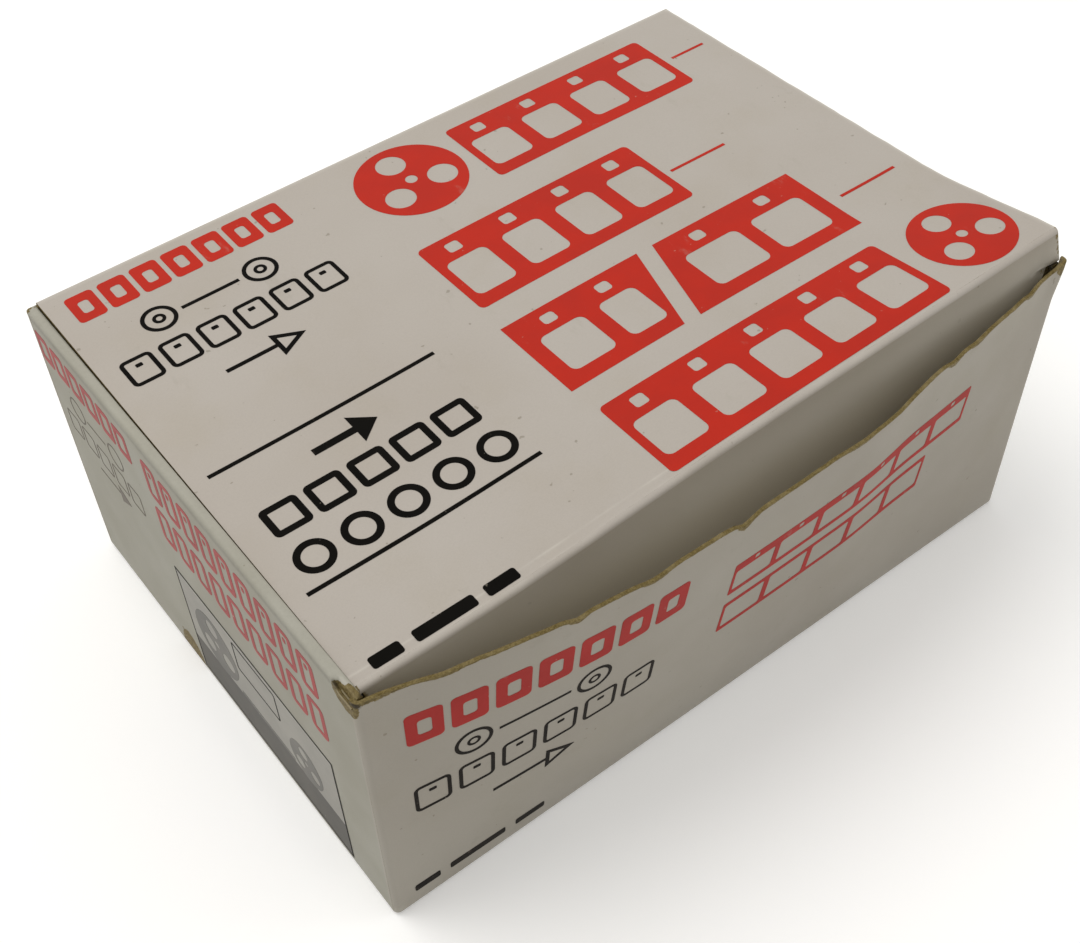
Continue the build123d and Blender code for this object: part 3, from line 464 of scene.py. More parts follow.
def board_sheet(name, points, sign, thickness, liner, fray, seed, **fields):
    """A closed sheet of board: its outer face goes through a grid of points in millimetres,
    its inner face lies under it, and its rim is frayed."""
    rows, columns = points.shape[:2]
    across, along = np.gradient(points, axis=0), np.gradient(points, axis=1)
    normals = sign * unit_rows(np.cross(across, along))
    inner = points - normals * np.broadcast_to(thickness, (rows, columns))[..., None]
    flat, flat_inner = points.reshape(-1, 3), inner.reshape(-1, 3)
    count = rows * columns

    def at(i, j):
        return i * columns + j

    quads, kinds = [], []
    for i in range(rows - 1):
        for j in range(columns - 1):
            a, b, c, d = at(i, j), at(i + 1, j), at(i + 1, j + 1), at(i, j + 1)
            quads.append((a, b, c, d))
            kinds.append(FACE)
            quads.append((a + count, d + count, c + count, b + count))
            kinds.append(BACK)
    loop = [at(i, 0) for i in range(rows)]
    loop += [at(rows - 1, j) for j in range(1, columns)]
    loop += [at(i, columns - 1) for i in range(rows - 2, -1, -1)]
    loop += [at(0, j) for j in range(columns - 2, 0, -1)]
    middle = (flat[loop] + flat_inner[loop]) / 2
    tangent = unit_rows(np.roll(flat[loop], -1, 0) - np.roll(flat[loop], 1, 0))
    outward = unit_rows(np.cross(tangent, normals.reshape(-1, 3)[loop]))
    centre = flat.mean(0)
    facing = np.sign(((middle - centre) * outward).sum(1, keepdims=True))
    steps = np.arange(len(loop))
    jitter = fray * (0.3 + 1.4 * np.abs(rough(steps * 0.37, steps * 0.11, seed + 40)))
    middle = middle + outward * facing * jitter[:, None]
    coords = np.concatenate([flat, flat_inner, middle]) * MM
    size = len(loop)
    for k in range(size):
        following = (k + 1) % size
        mid, mid_next = 2 * count + k, 2 * count + following
        quads.append((loop[following], loop[k], mid, mid_next))
        quads.append((mid_next, mid, loop[k] + count, loop[following] + count))
        kinds += [RIM, RIM]
    mesh = bpy.data.meshes.new(name)
    mesh.from_pydata(coords.tolist(), [], quads)
    mesh.polygons.foreach_set("material_index", kinds)
    mesh.polygons.foreach_set("use_smooth", [True] * len(quads))
    for material in (liner, RAW, CORE):
        mesh.materials.append(material)
    for field in ("wear", "grime", "pale"):
        values = np.broadcast_to(fields.get(field, 0.0), (rows, columns)).reshape(-1)
        whole = np.concatenate([values, values, values[loop]]).astype(np.float32)
        mesh.attributes.new(field, "FLOAT", "POINT").data.foreach_set("value", whole)
    return closed_piece(name, mesh)


def spread(low, high, fine, coarse, reach=8.0):
    """Places from low to high, close together near both ends and further apart between."""
    edge = np.arange(0, reach, fine)
    middle = np.linspace(low + reach, high - reach, max(2, int((high - low - 2 * reach) / coarse)))
    return np.concatenate([low + edge, middle, (high - edge)[::-1]])


# ------------ the carton's shape
CARTON_X, CARTON_Y = 102.5, 73.5
SKIN = 0.1
BOARD = 1.4
HALF_X = CARTON_X - SKIN
HALF_Y = CARTON_Y - SKIN
TOP = 89.0
RIM_Z = TOP - 0.4
FRONT_LIMIT = -87.85
END_FACE = HALF_X - 0.03
CORNER_R = 1.6
FOOT_R = 1.3
ROLL_R = 0.85
ROLL_WIDTH, END_WIDTH = 2.75, 4.05
END_BULGE = 1.44
LID_LEFT, LID_RIGHT = -99.35, 102.38
LID_BACK = 73.4
CREASE_Y = -71.25
NOSE_R = 1.3
FLAP_DEPTH = 30.0
FLAP_LEAN, FLAP_BOW, FLAP_RIGHT_LEAN = 3.0, 7.0, 6.0
FLAP_INSET = 0.5
FLAP_TAPER = 6.5
FLAP_CORNER = 9.0
SHOULDER_HIGH, SHOULDER_LOW = 8.3, 8.6
SHOULDER_INSET = 4.0
LAP = 0.5
SCORE = 0.75
PRINT_LEFT = -98.2
BACK_RISE = 1.9
FOLD_ANGLES = (90, 72, 54, 36, 18, 0)

# how far the front wall's top edge stands out, by the share of its length
BULGE_SHARE = np.array([0, 0.03, 0.06, 0.10, 0.14, 0.19, 0.25, 0.31, 0.41, 0.48, 0.55, 0.645,
                        0.68, 0.715, 0.80, 0.855, 0.90, 0.99, 1.0])
BULGE_DEPTH = np.array([1.4, 2.2, 4.4, 6.3, 8.4, 10.4, 12.5, 13.8, 14.2, 14.1, 13.7, 12.9,
                        11.9, 9.9, 7.8, 6.4, 5.0, 1.7, 1.4])
# how high the lid's front crease lies over the carton's top, by the share of its length
CREASE_SHARE = np.array([0, 0.12, 0.2, 0.32, 0.42, 0.52, 0.65, 0.82, 1.0])
CREASE_HEIGHT = np.array([-1.9, -1.7, -1.2, 0.6, 2.3, 3.4, 4.7, 6.3, 8.1])
# bites out of the front wall's rim: place along it, width, depth
RIM_BITES = ((-56, 2.2, 1.3), (-38, 3.0, 0.9), (-13, 2.4, 1.6), (22, 5, 0.7),
             (57, 2.6, 1.2), (66, 3.5, 0.9), (88, 2.2, 1.1), (-84, 5, 0.8))
# painted shade in the hollows of the worn front left corner: centre, reach along x, y and z
CORNER_HOLLOWS = (((-102.3, -68.2, 87.9), (0.8, 1.8, 0.7)), ((-101.9, -74.2, 88.0), (0.9, 1.6, 0.9)),
                  ((-99.6, -74.0, 88.6), (1.0, 1.4, 1.4)), ((-102.3, -71.2, 87.6), (0.7, 3.0, 0.5)))


def soft_curve(xs, ys, at, reach=0.03):
    """Straight pieces between given places, rounded off by averaging over a short reach."""
    at = np.asarray(at, float)
    total = 0
    for offset in np.linspace(-reach, reach, 7):
        total = total + np.interp(held(at + offset), xs, ys)
    return total / 7


def wall_bulge(x):
    """How far the front wall's top edge stands out at a place along it."""
    return soft_curve(BULGE_SHARE, BULGE_DEPTH, (np.asarray(x, float) + HALF_X) / (2 * HALF_X))


def lid_share(x):
    """A place along the lid, from 0 at its left edge to 1 at its right."""
    return held((x - LID_LEFT) / (LID_RIGHT - LID_LEFT))


def lid_top(x, y):
    """The lid's top face: its front right corner curls up over the last stretch."""
    share = lid_share(x)
    forward = held((LID_BACK - y) / (LID_BACK - CREASE_Y))
    back, front = BACK_RISE * share, soft_curve(CREASE_SHARE, CREASE_HEIGHT, share, 0.05)
    curled = 0.26 * forward + 0.74 * eased(forward, 0.7, 1.04)
    towards_right = eased(share, 0.45, 0.95)
    rise = forward ** 1.4 * (1 - towards_right) + curled * towards_right
    ripple = 0.5 * rough(x / 46, y / 46, 21, 2) * eased(forward, 0, 0.2) * eased(1 - forward, 0, 0.1)
    return TOP - SKIN + back + (front - back) * rise + ripple


def wrap_columns(fine, coarse):
    """Columns of a long wall that wraps round its two upright corners and laps a little over
    the ends: the corner's centre along X, the lap, and the outward direction along X and Y."""
    centre = HALF_X - CORNER_R
    left = [(-centre, LAP, -1.0, 0.0)]
    for angle in FOLD_ANGLES[:-1]:
        turn = math.radians(angle)
        left.append((-centre, 0.0, -math.sin(turn), math.cos(turn)))
    middle = [(x, 0.0, 0.0, 1.0) for x in spread(-centre, centre, fine, coarse)]
    right = [(-x, lap, -out_x, out_y) for x, lap, out_x, out_y in left[::-1]]
    return np.array(left + middle + right).T


def wrapped(columns, inset):
    """How far the columns of a wrapping wall lie along X and out along Y at a given inset."""
    centre, lap, out_x, out_y = columns
    radius = CORNER_R - inset
    return centre + radius * out_x, HALF_Y - CORNER_R + radius * out_y - lap


def fold_step(radius, angle):
    """How far in and how far down a rounded fold has turned at an angle."""
    turn = math.radians(angle)
    return radius * (1 - math.cos(turn)), radius * (1 - math.sin(turn))


def foot_rows():
    """Insets and heights of the rounded fold at the bottom of a wall."""
    steps = [fold_step(FOOT_R, angle) for angle in (90, 68, 45, 22)]
    return [(into, up + 0.02) for into, up in steps]


WORN_SPOTS = [
    # centre, reach along x, y and z, strength
    ((-102.5, -70.8, 86.2), (1.9, 4.8, 4.0), 3.0),
    ((-100.7, -72.2, 88.6), (1.0, 2.8, 1.2), 3.0),
    ((-97.0, -75.0, 88.6), (9.0, 4.0, 2.2), 0.8),
    ((-102.4, 22.6, 0.8), (3.0, 6.2, 9.5), 2.8),
    ((102.4, -73.4, 0.3), (3.0, 3.0, 2.4), 1.1),
    ((102.4, -74.3, 50.0), (2.2, 2.2, 3.6), 0.9),
    ((102.4, -75.5, 89.4), (4.2, 3.4, 4.2), 2.4),
    ((-102.4, 73.4, 88.8), (4.5, 4.5, 3.5), 0.8),
    ((102.4, 73.4, 88.0), (3.5, 3.5, 3.5), 0.85),
    ((-102.4, 73.4, 0.3), (2.5, 2.5, 2.5), 0.8),
    ((102.4, 73.4, 0.3), (2.5, 2.5, 2.5), 0.8),
    ((-102.4, -73.4, 0.3), (1.8, 1.8, 1.8), 0.6),
    ((30.0, 73.4, 0.2), (12.0, 2.0, 1.6), 0.7),
    ((102.4, -20.0, 0.2), (2.0, 9.0, 1.6), 0.7),
]


def away_from(centre, reach, points):
    """How far points lie from a centre, in shares of a reach along x, y and z."""
    return np.linalg.norm((points - np.array(centre)) / np.array(reach), axis=-1)


def worn(points):
    """How worn the board is at each point, from the spots where it has rubbed through."""
    spots = [strength * held(1.15 - away_from(centre, reach, points))
             for centre, reach, strength in WORN_SPOTS]
    return np.max(spots, axis=0)


def corner_grime(points):
    """Painted shade in the hollows of the worn front left corner."""
    hollows = [np.clip(1.5 - away_from(*hollow, points), 0, 1.2) for hollow in CORNER_HOLLOWS]
    return np.max(hollows, axis=0)


def front_face(x, z):
    """Where the front wall's outer face lies along Y, away from its rounded corners."""
    ripple = 0.35 * rough(x / 9, z / 9, 33, 2) * eased(z, 60, 89)
    flare = 0.9 * eased(x, 96, HALF_X) * eased(z, 76, 89)
    return -(wall_bulge(x) + flare) * z / TOP - ripple


def front_wall():
    columns = wrap_columns(0.8, 1.4)
    run = columns[0] + CORNER_R * columns[2]
    ragged = rough(run / 7, run * 0, 31, 4)
    tip = 1.3 * eased(run, 97.0, 101.0)
    bites = np.zeros(len(run))
    for along, width, depth in RIM_BITES:
        bites += depth * bump(run, along, width)
    edge = RIM_Z + 1.1 * ragged - bites + tip
    rows = foot_rows()
    rows += [(0.0, z) for z in np.linspace(FOOT_R, TOP - 12, 30)]
    for share in np.linspace(0, 1, 18)[1:]:
        rows.append((0.0, TOP - 12 + (edge - TOP + 12) * share))
    points = []
    for inset, z in rows:
        x, out = wrapped(columns, inset)
        points.append(np.stack([x, front_face(x, z) - out, z + 0 * x], -1))
    points = np.array(points)
    points[..., 1] = np.maximum(points[..., 1], FRONT_LIMIT)
    from_top = edge - points[..., 2]
    reach = 0.35 + 1.3 * np.abs(ragged) + 0.8 * bites
    strip = 1.1 * held(1.25 - from_top / reach)
    creased = 0.2 * bump(np.abs(points[..., 0]), HALF_X, 2.0)
    foot = 0.3 * bump(points[..., 2], 0.6, 1.0)
    crushed = BOARD - 0.55 * eased(-from_top, -5, 0)
    # The front wall's worn left corner gets painted shade in its hollows.
    return board_sheet("front_panel", points, -1, crushed, WALL_LINER, 0.3, 3,
                       wear=np.maximum(worn(points), strip), grime=corner_grime(points),
                       pale=np.clip(creased + foot, 0, 0.5))


def back_wall():
    columns = wrap_columns(1.6, 6.0)
    x = wrapped(columns, 0.0)[0]
    edge = TOP - SKIN + BACK_RISE * lid_share(x) - NOSE_R
    rows = foot_rows()
    rows += [(0.0, FOOT_R + (edge - FOOT_R) * part) for part in np.linspace(0, 1, 30)]
    points = []
    for inset, z in rows:
        x, out = wrapped(columns, inset)
        points.append(np.stack([x, out, z + 0 * x], -1))
    points = np.array(points)
    return board_sheet("back_panel", points, 1, BOARD, WALL_LINER, 0.15, 5,
                       wear=worn(points), pale=0.4 * bump(points[..., 2], 0.6, 1.0))


def end_wall(side):
    """One end: outer layer, rolled top strip and inner layer, in one folded sheet."""
    reach = HALF_Y - CORNER_R + 0.4
    along = spread(-reach, reach, 0.7, 2.4, 9.0)
    top = RIM_Z
    rows = [(inset, z, "foot") for inset, z in foot_rows()]
    rows += [(0.0, z, "outer") for z in np.linspace(FOOT_R, top - 14, 26)]
    rows += [(0.0, z, "outer") for z in np.linspace(top - 14, top - ROLL_R, 20)[1:]]
    for angle in (15, 30, 45, 60, 75, 90):
        into, fall = fold_step(ROLL_R, angle)
        rows.append((into, top - fall, "roll"))
    rows.append((ROLL_WIDTH / 2, top + 0.02, "roll"))
    for angle in (90, 70, 50, 30, 12):
        into, fall = fold_step(ROLL_R, angle)
        rows.append((ROLL_WIDTH - into, top - fall, "roll"))
    inner_heights = [np.linspace(top - ROLL_R, top - 10, 7), np.linspace(top - 14, 1.5, 18)]
    for z in np.concatenate(inner_heights):
        pinched = (END_WIDTH - ROLL_WIDTH) * eased(z, top - 12, top - 4)
        rows.append((END_WIDTH - pinched, z, "inner"))
    points, wear, pale, grime, depth = [], [], [], [], []
    for inset, z, kind in rows:
        y = along - END_BULGE * (z / TOP) * eased(-along, 58, 72) * (kind != "inner")
        y = np.clip(y, -71.9, 71.9) if kind == "inner" else y
        height = np.full(len(y), z)
        if kind == "roll":
            height = height + 0.3 * rough(y / 22, inset / 5 + y * 0, 51 + side, 3)
        near = eased(-y, 66.0, 69.5)
        if side > 0:
            height = height - 0.5 * near * eased(z, 82, 87.5)
        elif kind in ("roll", "outer"):
            crevice = bump(inset, 0.75, 0.4) * (kind == "roll")
            height = height - near * (1.0 * (1 - eased(inset, 0.6, 1.1)) * eased(z, 86, 88)
                                      + 1.5 * crevice)
        x = side * (END_FACE - inset) * np.ones(len(y))
        here = np.stack([x, y, height], -1)
        worn_here, pale_here = worn(here), 0.25 * bump(here[:, 2], 0.6, 1.0)
        # Painted shade: a darker band just under the rolled top, on the outer face and the roll.
        dirt_and_shade_here = 0.36 * bump(here[:, 2], top - 1.9, 1.4) * (kind in ("outer", "roll"))
        # Painted shadow on the right end near its front top corner, next to the flap.
        if side > 0:
            dirt_and_shade_here = np.maximum(dirt_and_shade_here, 0.9 * near * eased(z, 80, 87))
        if kind == "roll":
            pale_here = 0.2 * noise2(y / 9, inset + y * 0, 61)
            worn_here = np.maximum(worn_here, 0.3 * noise2(y / 9, inset + y * 0, 63))
            dirt_and_shade_here = np.maximum(dirt_and_shade_here, 0.16)
            if side < 0:
                ridge = bump(inset, 1.5, 0.5) * eased(-y, 66, 68)
                pale_here = held(pale_here + 0.45 * ridge)
        points.append(here)
        wear.append(worn_here)
        pale.append(pale_here)
        grime.append(dirt_and_shade_here)
        depth.append(BOARD - 0.6 * eased(height, top - 8, top - 2))
    points, grime = np.array(points), np.array(grime)
    # The left end's worn front corner gets painted shade in its hollows.
    if side < 0:
        grime = np.maximum(grime, corner_grime(points))
    name = "left_end" if side < 0 else "right_end"
    return board_sheet(name, points, -side, np.array(depth), END_LINER, 0.25, 7 + side,
                       wear=np.array(wear), pale=np.array(pale), grime=grime)


def lid_sheet():
    xs = spread(LID_LEFT, LID_RIGHT, 0.8, 2.0, 6.0)
    ys = spread(CREASE_Y + NOSE_R, LID_BACK - NOSE_R, 0.5, 2.4, 7.0)[::-1]
    grid_x, grid_y = np.meshgrid(xs, ys)
    right = 0.4 * rough(grid_y / 4, grid_y * 0, 71, 3)
    stretch = eased(grid_x, LID_RIGHT - 6, LID_RIGHT)
    grid_x = grid_x + (right - 0.2) * stretch
    from_crease = grid_y - CREASE_Y
    z = lid_top(grid_x, grid_y)
    line = 2.6 + 1.1 * noise2(grid_x / 30, grid_x * 0, 75)
    fading = 1 - 0.85 * eased(grid_x, -10, 80)
    z = z - 0.08 * fading * bump(from_crease, line, 0.6)
    points = np.stack([grid_x, grid_y, z], -1)
    # Paler lines along the crease's nose and just behind its groove: cracked liner, and in part a
    # painted highlight.
    pale = 0.3 * bump(from_crease, NOSE_R, 0.6) + 0.45 * fading * bump(from_crease, line + 0.7, 0.4)
    pale = pale * (0.4 + 0.8 * noise2(grid_x / 7, grid_y * 0, 77))
    pale = pale + 0.3 * bump(LID_BACK - grid_y, NOSE_R, 0.8)
    from_right = LID_RIGHT - grid_x
    pale = pale + 0.6 * bump(from_right, 0.2, 0.7)
    rubbed_right = 0.62 * held(1 - from_right / 0.8) * noise2(grid_y / 3, grid_y, 79)
    rubbed_left = 0.5 * held(1 - (grid_x - LID_LEFT) / 0.7) * noise2(grid_y / 6, grid_y, 81)
    wear = np.maximum(np.maximum(worn(points), rubbed_right), rubbed_left)
    scored = BOARD - SCORE * bump(from_crease, NOSE_R, 1.6)
    return board_sheet("lid_top", points, 1, scored, LINER, 0.06, 11, wear=wear, pale=held(pale))


def flap_line(x):
    """The lid's top height along the front crease."""
    return lid_top(x, np.full(np.shape(x), CREASE_Y))


def flap_point(x, down):
    """A point of the flap's outer face, a distance down from where the crease's nose ends. It
    leans outwards, and most in the middle, where it pushes the front wall out."""
    share = lid_share(x)
    turned_out = FLAP_BOW * np.sin(math.pi * share) + FLAP_RIGHT_LEAN * eased(share, 0.8, 1)
    lean = np.radians(FLAP_LEAN + turned_out)
    z = flap_line(x) - NOSE_R - down * np.cos(lean)
    curled = 1.1 * eased(x, 96, 101.5) * held(down / 7)
    y = CREASE_Y + 0.02 - down * np.sin(lean) - curled
    return np.stack([x, y, z], -1)


def tuck_flap():
    """The flap inside the front wall: tapered, rounded, with a shoulder over the right end."""
    downs = np.concatenate([np.linspace(0, SHOULDER_HIGH - NOSE_R, 9), [SHOULDER_LOW - NOSE_R],
                            np.linspace(9, FLAP_DEPTH - FLAP_CORNER - NOSE_R, 9),
                            np.linspace(FLAP_DEPTH - 8 - NOSE_R, FLAP_DEPTH - NOSE_R, 10)])
    shares = np.concatenate([np.linspace(0, 0.04, 8), np.linspace(0.06, 0.94, 90),
                             np.linspace(0.96, 1, 8)])
    points = []
    for down in downs:
        depth = down + NOSE_R
        into = max(0.0, depth - (FLAP_DEPTH - FLAP_CORNER))
        turned = FLAP_CORNER - math.sqrt(max(0.0, FLAP_CORNER ** 2 - into * into))
        left = FLAP_INSET + FLAP_TAPER * depth / FLAP_DEPTH + turned
        cut = np.interp(depth, (SHOULDER_HIGH, SHOULDER_LOW), (0.0, SHOULDER_INSET))
        below = max(0.0, (depth - SHOULDER_LOW) / (FLAP_DEPTH - SHOULDER_LOW))
        right = 0.05 + cut + FLAP_TAPER * below + turned
        x = LID_LEFT + left + shares * (LID_RIGHT - LID_LEFT - left - right)
        points.append(flap_point(x, np.full(len(x), down)))
    points = np.array(points)
    down = np.broadcast_to(downs[:, None], points.shape[:2])
    # Painted light: the flap is painted paler the further down it reaches and towards its left end.
    near_left = 1 - eased(points[..., 0], -100, -40)
    pale = held(0.12 + 0.066 * down + 0.35 * near_left)
    ends = np.minimum(np.arange(points.shape[1]), np.arange(points.shape[1])[::-1])
    wear = 0.55 * np.broadcast_to(held(1 - ends / 4), points.shape[:2])
    scored = BOARD - SCORE * bump(down, 0, 1.6)
    return board_sheet("front_flap", points, 1, scored, FLAP_LINER, 0.2, 13, wear=wear, pale=pale)


def crease_fold():
    """The rounded fold between the lid and its front flap."""
    xs = spread(LID_LEFT + 0.05, LID_RIGHT - 0.15, 0.8, 1.6, 6.0)
    points = []
    for angle in FOLD_ANGLES:
        into, drop = fold_step(NOSE_R, angle)
        y = np.full(len(xs), CREASE_Y + into)
        base = lid_top(xs, np.full(len(xs), CREASE_Y + NOSE_R))
        front = flap_line(xs)
        z = base + (front - base) * (1 - angle / 90) - drop
        z = z - 0.1 * np.abs(rough(xs / 5, xs * 0 + angle / 60, 91, 2))
        points.append(np.stack([xs, y, z], -1))
    points = np.array(points)
    wave = noise2(points[..., 0] / 6, points[..., 0] * 0, 77)
    pale = held(0.3 * wave) * np.ones(points.shape[:2])
    wear = 0.3 * noise2(points[..., 0] / 4, points[..., 2] / 2, 93)
    ends = np.minimum(points[..., 0] - LID_LEFT, LID_RIGHT - points[..., 0])
    wear = np.maximum(wear, 0.75 * held(1 - ends / 1.2))
    return board_sheet("crease_fold", points, 1, BOARD - SCORE, LINER, 0.1, 15,
                       wear=wear, pale=pale, grime=worn(points) * 0.2)


def hinge_fold():
    """The rounded fold between the back wall and the lid."""
    xs = spread(LID_LEFT + 0.05, LID_RIGHT - 0.15, 1.6, 6.0, 6.0)
    points = []
    for angle in FOLD_ANGLES:
        into, drop = fold_step(NOSE_R, angle)
        y = np.full(len(xs), LID_BACK - into)
        base = lid_top(xs, np.full(len(xs), LID_BACK - NOSE_R))
        edge = TOP - SKIN + BACK_RISE * lid_share(xs)
        z = base * angle / 90 + edge * (1 - angle / 90) - drop
        points.append(np.stack([xs, y, z], -1))
    points = np.array(points)
    pale = held(0.2 + 0.4 * noise2(points[..., 0] / 8, points[..., 2], 95))
    return board_sheet("hinge_fold", points, -1, BOARD - 0.1, LINER, 0.08, 17,
                       wear=worn(points), pale=pale)


def place(obj, body, slot, *nodes):
    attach(obj, body)
    if nodes:
        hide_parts(*nodes)


place(front_wall(), "carton", "printed_board", "front_wall")
place(back_wall(), "carton", "printed_board", "back_wall")
place(end_wall(-1), "carton", "printed_board", "end_outer_left", "roll_strip_left", "end_inner_left")
place(end_wall(1), "carton", "printed_board", "end_outer_right", "roll_strip_right", "end_inner_right")
place(lid_sheet(), "lid", "printed_board", "lid_panel")
place(tuck_flap(), "tuck_flap", "printed_board", "tuck_flap")

front_fold = crease_fold()
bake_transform(front_fold)
back_fold = hinge_fold()
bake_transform(back_fold)


# ------------ prints
# Blender fills outlines in small units: millimetres times SHRINK, and back by GROW.
SHRINK, GROW = 0.01, 100
PRINT_STEP, INK_FILM = 4.0, 0.045


def ring(x, y, radius, sides):
    turns = np.linspace(0, 2 * math.pi, sides, endpoint=False)
    return [(x + radius * math.cos(turn), y + radius * math.sin(turn)) for turn in turns]


def box2(x0, y0, x1, y1, corner=0.0):
    """A rectangle, with rounded corners if asked."""
    if corner <= 0:
        return [(x0, y0), (x1, y0), (x1, y1), (x0, y1)]
    outline = []
    for cx, cy, first in ((x1 - corner, y0 + corner, -90), (x1 - corner, y1 - corner, 0),
                          (x0 + corner, y1 - corner, 90), (x0 + corner, y0 + corner, 180)):
        for step in range(6):
            turn = math.radians(first + 18 * step)
            outline.append((cx + corner * math.cos(turn), cy + corner * math.sin(turn)))
    return outline


def frame_strip(x0, y0, x1, y1, pitch, border, hole=True):
    """A length of film: frames in a row, with small holes along its upper edge."""
    loops = [box2(x0, y0, x1, y1, border * 0.35)]
    count = max(1, round((x1 - x0) / pitch))
    step = (x1 - x0) / count
    upper = y0 + border * (2.0 if hole else 1.0)
    for index in range(count):
        left = x0 + index * step
        loops.append(box2(left + border * 0.55, upper, left + step - border * 0.55,
                          y1 - border, border * 0.45))
        if hole:
            middle_x = left + step / 2
            loops.append(box2(middle_x - border * 0.45, y0 + border * 0.55,
                              middle_x + border * 0.45, y0 + border * 1.4, border * 0.2))
    return loops


def film_reel(x, y, radius):
    """A film reel seen from the side: rim, three openings and hub."""
    loops = [ring(x, y, radius, 64)]
    for opening in range(3):
        turn = 2 * math.pi * opening / 3 + 0.4
        loops.append(ring(x + 0.55 * radius * math.cos(turn), y + 0.55 * radius * math.sin(turn),
                          0.27 * radius, 28))
    loops.append(ring(x, y, 0.11 * radius, 20))
    return loops


def outline_ring(x, y, radius, stroke):
    return [ring(x, y, radius, 44), ring(x, y, radius - stroke, 44)]


def outline_box(x0, y0, x1, y1, stroke, corner):
    inner = max(corner - stroke, 0.15)
    return [box2(x0, y0, x1, y1, corner),
            box2(x0 + stroke, y0 + stroke, x1 - stroke, y1 - stroke, inner)]


def outline_row(count, start, pitch, box, stroke, corner, hole=None):
    """A row of outlined frames, each with a small hole if asked. The box is a width, a top and
    a bottom, and the hole is written from the frame's left edge."""
    width, upper, lower = box
    row = []
    for index in range(count):
        left = start + index * pitch
        row.append(outline_box(left, upper, left + width, lower, stroke, corner))
        if hole:
            x0, y0, x1, y1, hole_corner = hole
            row.append([box2(left + x0, y0, left + x1, y1, hole_corner)])
    return row


def thick_row(count, start, pitch, *boxes):
    """A row of thick frames: outer and inner box, written from each frame's left edge."""
    row = []
    for index in range(count):
        left = start + index * pitch
        row.append([box2(left + x0, y0, left + x1, y1, corner) for x0, y0, x1, y1, corner in boxes])
    return row


def reel_pair(first, second, y, rings, bar):
    """Two small reels in outline and the line between them."""
    drawn = [outline_ring(first, y, *size) for size in rings]
    drawn.append([box2(*bar)])
    return drawn + [outline_ring(second, y, *size) for size in rings]


def arrow(tail, neck, tip, y, shaft, head):
    """An arrow along the line y, with half the widths of its shaft and head."""
    return [(tail, y - shaft), (neck, y - shaft), (neck, y - head), (tip, y),
            (neck, y + head), (neck, y + shaft), (tail, y + shaft)]


def dashes(spans, upper, lower, corner):
    return [[box2(left, upper, right, lower, corner)] for left, right in spans]


def fill(loops):
    """Flat faces for outlines where every loop inside another is a hole."""
    curve = bpy.data.curves.new("outline", "CURVE")
    curve.dimensions = "2D"
    curve.fill_mode = "BOTH"
    for loop in loops:
        spline = curve.splines.new("POLY")
        spline.points.add(len(loop) - 1)
        spline.points.foreach_set("co", [v for x, y in loop for v in (x * SHRINK, y * SHRINK, 0, 1)])
        spline.use_cyclic_u = True
    holder = new_object("outline", curve)
    graph = bpy.context.evaluated_depsgraph_get()
    mesh = bpy.data.meshes.new_from_object(holder.evaluated_get(graph))
    bpy.data.objects.remove(holder)
    bpy.data.curves.remove(curve)
    return mesh


def print_on(name, groups, surface, material, lift=0.02):
    """Thin closed ink films on a panel. groups are sets of outlines in the panel's own
    millimetres, and surface turns those into points and normals."""
    bm = bmesh.new()
    for loops in groups:
        mesh = fill(loops)
        bm.from_mesh(mesh)
        bpy.data.meshes.remove(mesh)
    bmesh.ops.remove_doubles(bm, verts=bm.verts, dist=1e-5)
    flat = np.array([vert.co[:2] for vert in bm.verts]) * GROW
    for axis in (0, 1):
        low, high = flat[:, axis].min(), flat[:, axis].max()
        for cut in np.arange(math.ceil(low / PRINT_STEP) * PRINT_STEP, high, PRINT_STEP):
            point = [0, 0, 0]
            point[axis] = cut * SHRINK
            normal = [0, 0, 0]
            normal[axis] = 1
            everything = bm.verts[:] + bm.edges[:] + bm.faces[:]
            bmesh.ops.bisect_plane(bm, geom=everything, plane_co=point, plane_no=normal,
                                   dist=1e-6)
    bmesh.ops.triangulate(bm, faces=bm.faces)
    bm.verts.ensure_lookup_table()
    bm.verts.index_update()
    flat = np.array([vert.co[:2] for vert in bm.verts]) * GROW
    where, normal = surface(flat[:, 0], flat[:, 1])
    low = where + normal * lift
    high = where + normal * (lift + INK_FILM)
    count = len(flat)
    faces = []
    for face in bm.faces:
        ids = [vert.index for vert in face.verts]
        faces.append([k + count for k in ids])
        faces.append(ids[::-1])
    for edge in bm.edges:
        if len(edge.link_faces) == 1:
            face = edge.link_faces[0]
            for loop in face.loops:
                if loop.edge == edge:
                    a, b = loop.vert.index, loop.link_loop_next.vert.index
                    faces.append([a, b, b + count, a + count])
    bm.free()
    mesh = bpy.data.meshes.new(name)
    mesh.from_pydata((np.concatenate([low, high]) * MM).tolist(), [], faces)
    mesh.materials.append(material)
    body = "lid" if surface is on_lid else "carton"
    place(closed_piece(name, mesh), body, "printed_board")


def with_normals(point_at, along, down):
    """Points of a surface and its normals, by small steps along both directions."""
    step = 0.2
    here = point_at(along, down)
    du = point_at(along + step, down) - point_at(along - step, down)
    dv = point_at(along, down + step) - point_at(along, down - step)
    return here, -unit_rows(np.cross(du, dv))


def on_lid(along, down):
    """The lid's top: along from near its left edge, down from its back edge."""
    def point_at(p, q):
        x, y = PRINT_LEFT + p, LID_BACK - q
        return np.stack([x, y, lid_top(x, y)], -1)
    return with_normals(point_at, along, down)


def on_front(along, down):
    """The front wall: along from the left, down from its top edge."""
    def point_at(p, q):
        x, z = p - CARTON_X, TOP - q
        return np.stack([x, front_face(x, z) - HALF_Y, z], -1)
    return with_normals(point_at, along, down)


def on_left(along, down):
    """The left end: along from its back edge, down from its top."""
    def point_at(p, q):
        y, z = CARTON_Y - p, TOP - q
        return np.stack([np.full(np.shape(y), -END_FACE), y, z], -1)
    return with_normals(point_at, along, down)


